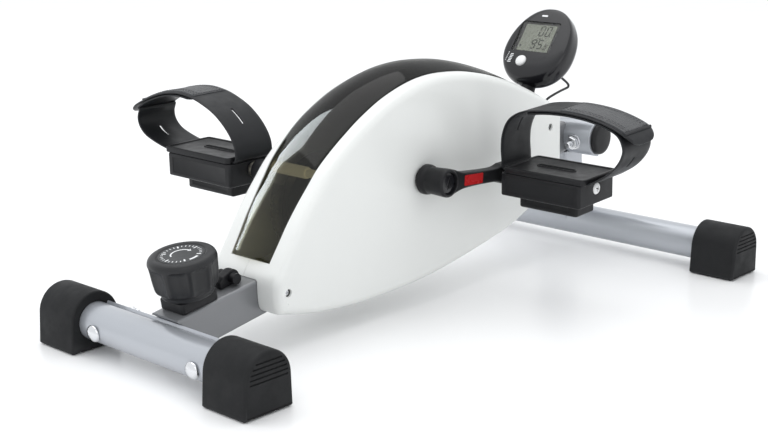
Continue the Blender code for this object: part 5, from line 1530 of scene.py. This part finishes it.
ink = []
DIG = {"0": "abcdef", "5": "acdfg", "9": "abcdfg"}
ink += seg_digit(-0.6, 17.8, 5.4, 13.0, DIG["0"], 1.4)
ink += seg_digit(8.6, 17.8, 5.4, 13.0, DIG["0"], 1.4)
ink += [prism("dot", rounded_rect(1.5, 1.5, 0.4, 3, cx=12.4, cy=11.4), -1.58, -1.50, INK, lambda a, b, t_: con(a, b, t_)),
        prism("dash", rounded_rect(3.0, 1.0, 0.3, 3, cx=0.6, cy=6.9), -1.58, -1.50, INK, lambda a, b, t_: con(a, b, t_))]
ink += seg_digit(-5.4, -0.4, 5.8, 11.6, DIG["9"], 1.5)
ink += seg_digit(4.0, -0.4, 5.8, 11.6, DIG["5"], 1.5)
for k in range(4):
    ink.append(prism("unit", rounded_rect(4.4, 0.9, 0.3, 3, cx=12.4 + 0.3 * k, cy=-6.6 + 2.1 * k), -1.58, -1.50, INK,
                     lambda a, b, t_: con(a, b, t_)))
ink.append(prism("unit2", rounded_rect(2.6, 2.4, 0.3, 3, cx=-23.4, cy=-3.4), -1.58, -1.50, INK, lambda a, b, t_: con(a, b, t_)))
own(joined("display_digits", ink, 30), "base", "display_window")
lens = cbox("display_lens", 54.4, 40.4, 0.8, -5, 9, -0.75, 0.15, 1.8, LENS, 2)
own(lens, "base", "display_window", "console_lens")
# plain marks beside the key
pm = []
for k in range(6):
    pm.append(prism("pm", rounded_rect(5.0 if k % 2 else 4.2, 1.0, 0.3, 3, cx=-27.4 - 0.15 * k, cy=-17.4 - 2.1 * k), -1.9, 0.13, PRINT,
                    lambda a, b, t_: con(a, b, t_)))
    pm.append(prism("pm", rounded_rect(1.1, 0.9, 0.3, 3, cx=-33.0 - 0.15 * k, cy=-15.4 - 2.1 * k), -1.9, 0.13, PRINT,
                    lambda a, b, t_: con(a, b, t_)))
pm.append(prism("pm", rounded_rect(8.6, 2.2, 1.0, 5, cx=-5.0, cy=38.0), -1.9, 0.13, PRINT, lambda a, b, t_: con(a, b, t_)))
own(joined("face_marks", pm, 30), "base", None)
key = turned("mode_key", [(0, 2.6), (3.0, 2.5), (5.0, 2.15), (6.3, 1.4), (6.9, 0.4), (6.9, -4.5), (0, -4.5)], BUTTON,
             con(-11.5, -25, 0), CN, 64)
own(key, "console_key", "white_plastic", "console_button")

# ------------------------------------------------------------------ display lead
LEAD = [tuple(con(0, -21, -31.8) + Vector((0, -20, 0))), tuple(con(0, -21, -36.5) + Vector((0, -20, 0))),
        (283.0, -19.5, 210.6), (291.0, -19.5, 206.0), (297.2, -19.5, 201.8), (298.4, -19.5, 199.6),
        (297.0, -19.5, 197.6), (289.0, -19.0, 196.0), (278.5, -18.5, 193.8), (261.0, -17.0, 188.6),
        (253.0, -15.0, 182.0), (249.0, -13.0, 174.0)]
lead_pts = resample(catmull(LEAD, 8), 60)
lead = tube_along("display_lead", lead_pts, 1.5, CABLE, 16)
own(lead, "base", "black_plastic", "console_lead")
sr = tube_along("lead_relief", resample([lead_pts[0], lead_pts[1], lead_pts[2], lead_pts[3]], 6),
                lambda f: 3.6 - 1.5 * f, CABLE, 24)
own(sr, "base", "black_plastic")

# ------------------------------------------------------------------ camera, floor, light
cam_d = bpy.data.cameras.new("camera")
cam = bpy.data.objects.new("camera", cam_d)
COLL.objects.link(cam)
cam_d.sensor_width = 36.0
cam_d.lens = 63.1
cam_d.clip_start, cam_d.clip_end = 0.05, 60.0
yaw, pitch = math.radians(41.96), math.radians(-14.466)
fwd = Vector((math.cos(pitch) * math.cos(yaw), math.cos(pitch) * math.sin(yaw), math.sin(pitch)))
q = fwd.to_track_quat("-Z", "Y")
rollq = Matrix.Rotation(math.radians(ROLL), 4, fwd).to_quaternion()
cam.rotation_mode = "QUATERNION"
cam.rotation_quaternion = rollq @ q
cam.location = (-1.0598, -0.9401, 0.4504)
bpy.context.scene.camera = cam

FLOORM = surface("studio_floor", (0.94, 0.94, 0.942), 0.24, vary=0.004, rvary=0.01, grain=300, grain_h=0.0005, broad=1.5, spec=0.35)
fl = bpy.data.meshes.new("studio_floor")
fl.from_pydata([(-30, -30, -0.0008), (30, -30, -0.0008), (30, 30, -0.0008), (-30, 30, -0.0008)], [], [(0, 1, 2, 3)])
floor = bpy.data.objects.new("studio_floor", fl)
fl.materials.append(FLOORM)
COLL.objects.link(floor)

world = bpy.data.worlds.new("studio")
bpy.context.scene.world = world
world.use_nodes = True
bg = world.node_tree.nodes["Background"]
bg.inputs["Color"].default_value = (0.97, 0.985, 1.0, 1)
bg.inputs["Strength"].default_value = 1.04


def area(name, loc, target, size, power, color=(1, 1, 1), size_y=None):
    ld = bpy.data.lights.new(name, "AREA")
    ld.energy = power
    ld.color = color
    ld.shape = "RECTANGLE"
    ld.size = size
    ld.size_y = size_y or size
    o = bpy.data.objects.new(name, ld)
    o.location = loc
    o.rotation_mode = "QUATERNION"
    o.rotation_quaternion = (Vector(target) - Vector(loc)).to_track_quat("-Z", "Y")
    COLL.objects.link(o)
    return o


area("overhead", (0.1, 0.3, 2.3), (0, 0, 0.1), 2.2, 18)
key = area("key_left", (-1.6, 1.6, 1.3), (0, 0, 0.12), 1.1, 10, (0.96, 0.98, 1.0))
key.visible_glossy = False
area("front_fill", (-1.6, -2.2, 1.5), (0, 0, 0.1), 1.8, 6)
# tall soft box on the left: its reflection runs down the edge of the smoked window
tall = area("left_soft_box", (-0.174, 1.38, 0.99), (-0.15, 0.02, 0.17), 0.58, 32, (0.90, 0.97, 1.0), 1.45)
tall.visible_diffuse = False
lit = bpy.data.collections.new("soft_box_receivers")
lit.objects.link(win)
tall.light_linking.receiver_collection = lit
bpy.context.scene.view_settings.view_transform = "Standard"
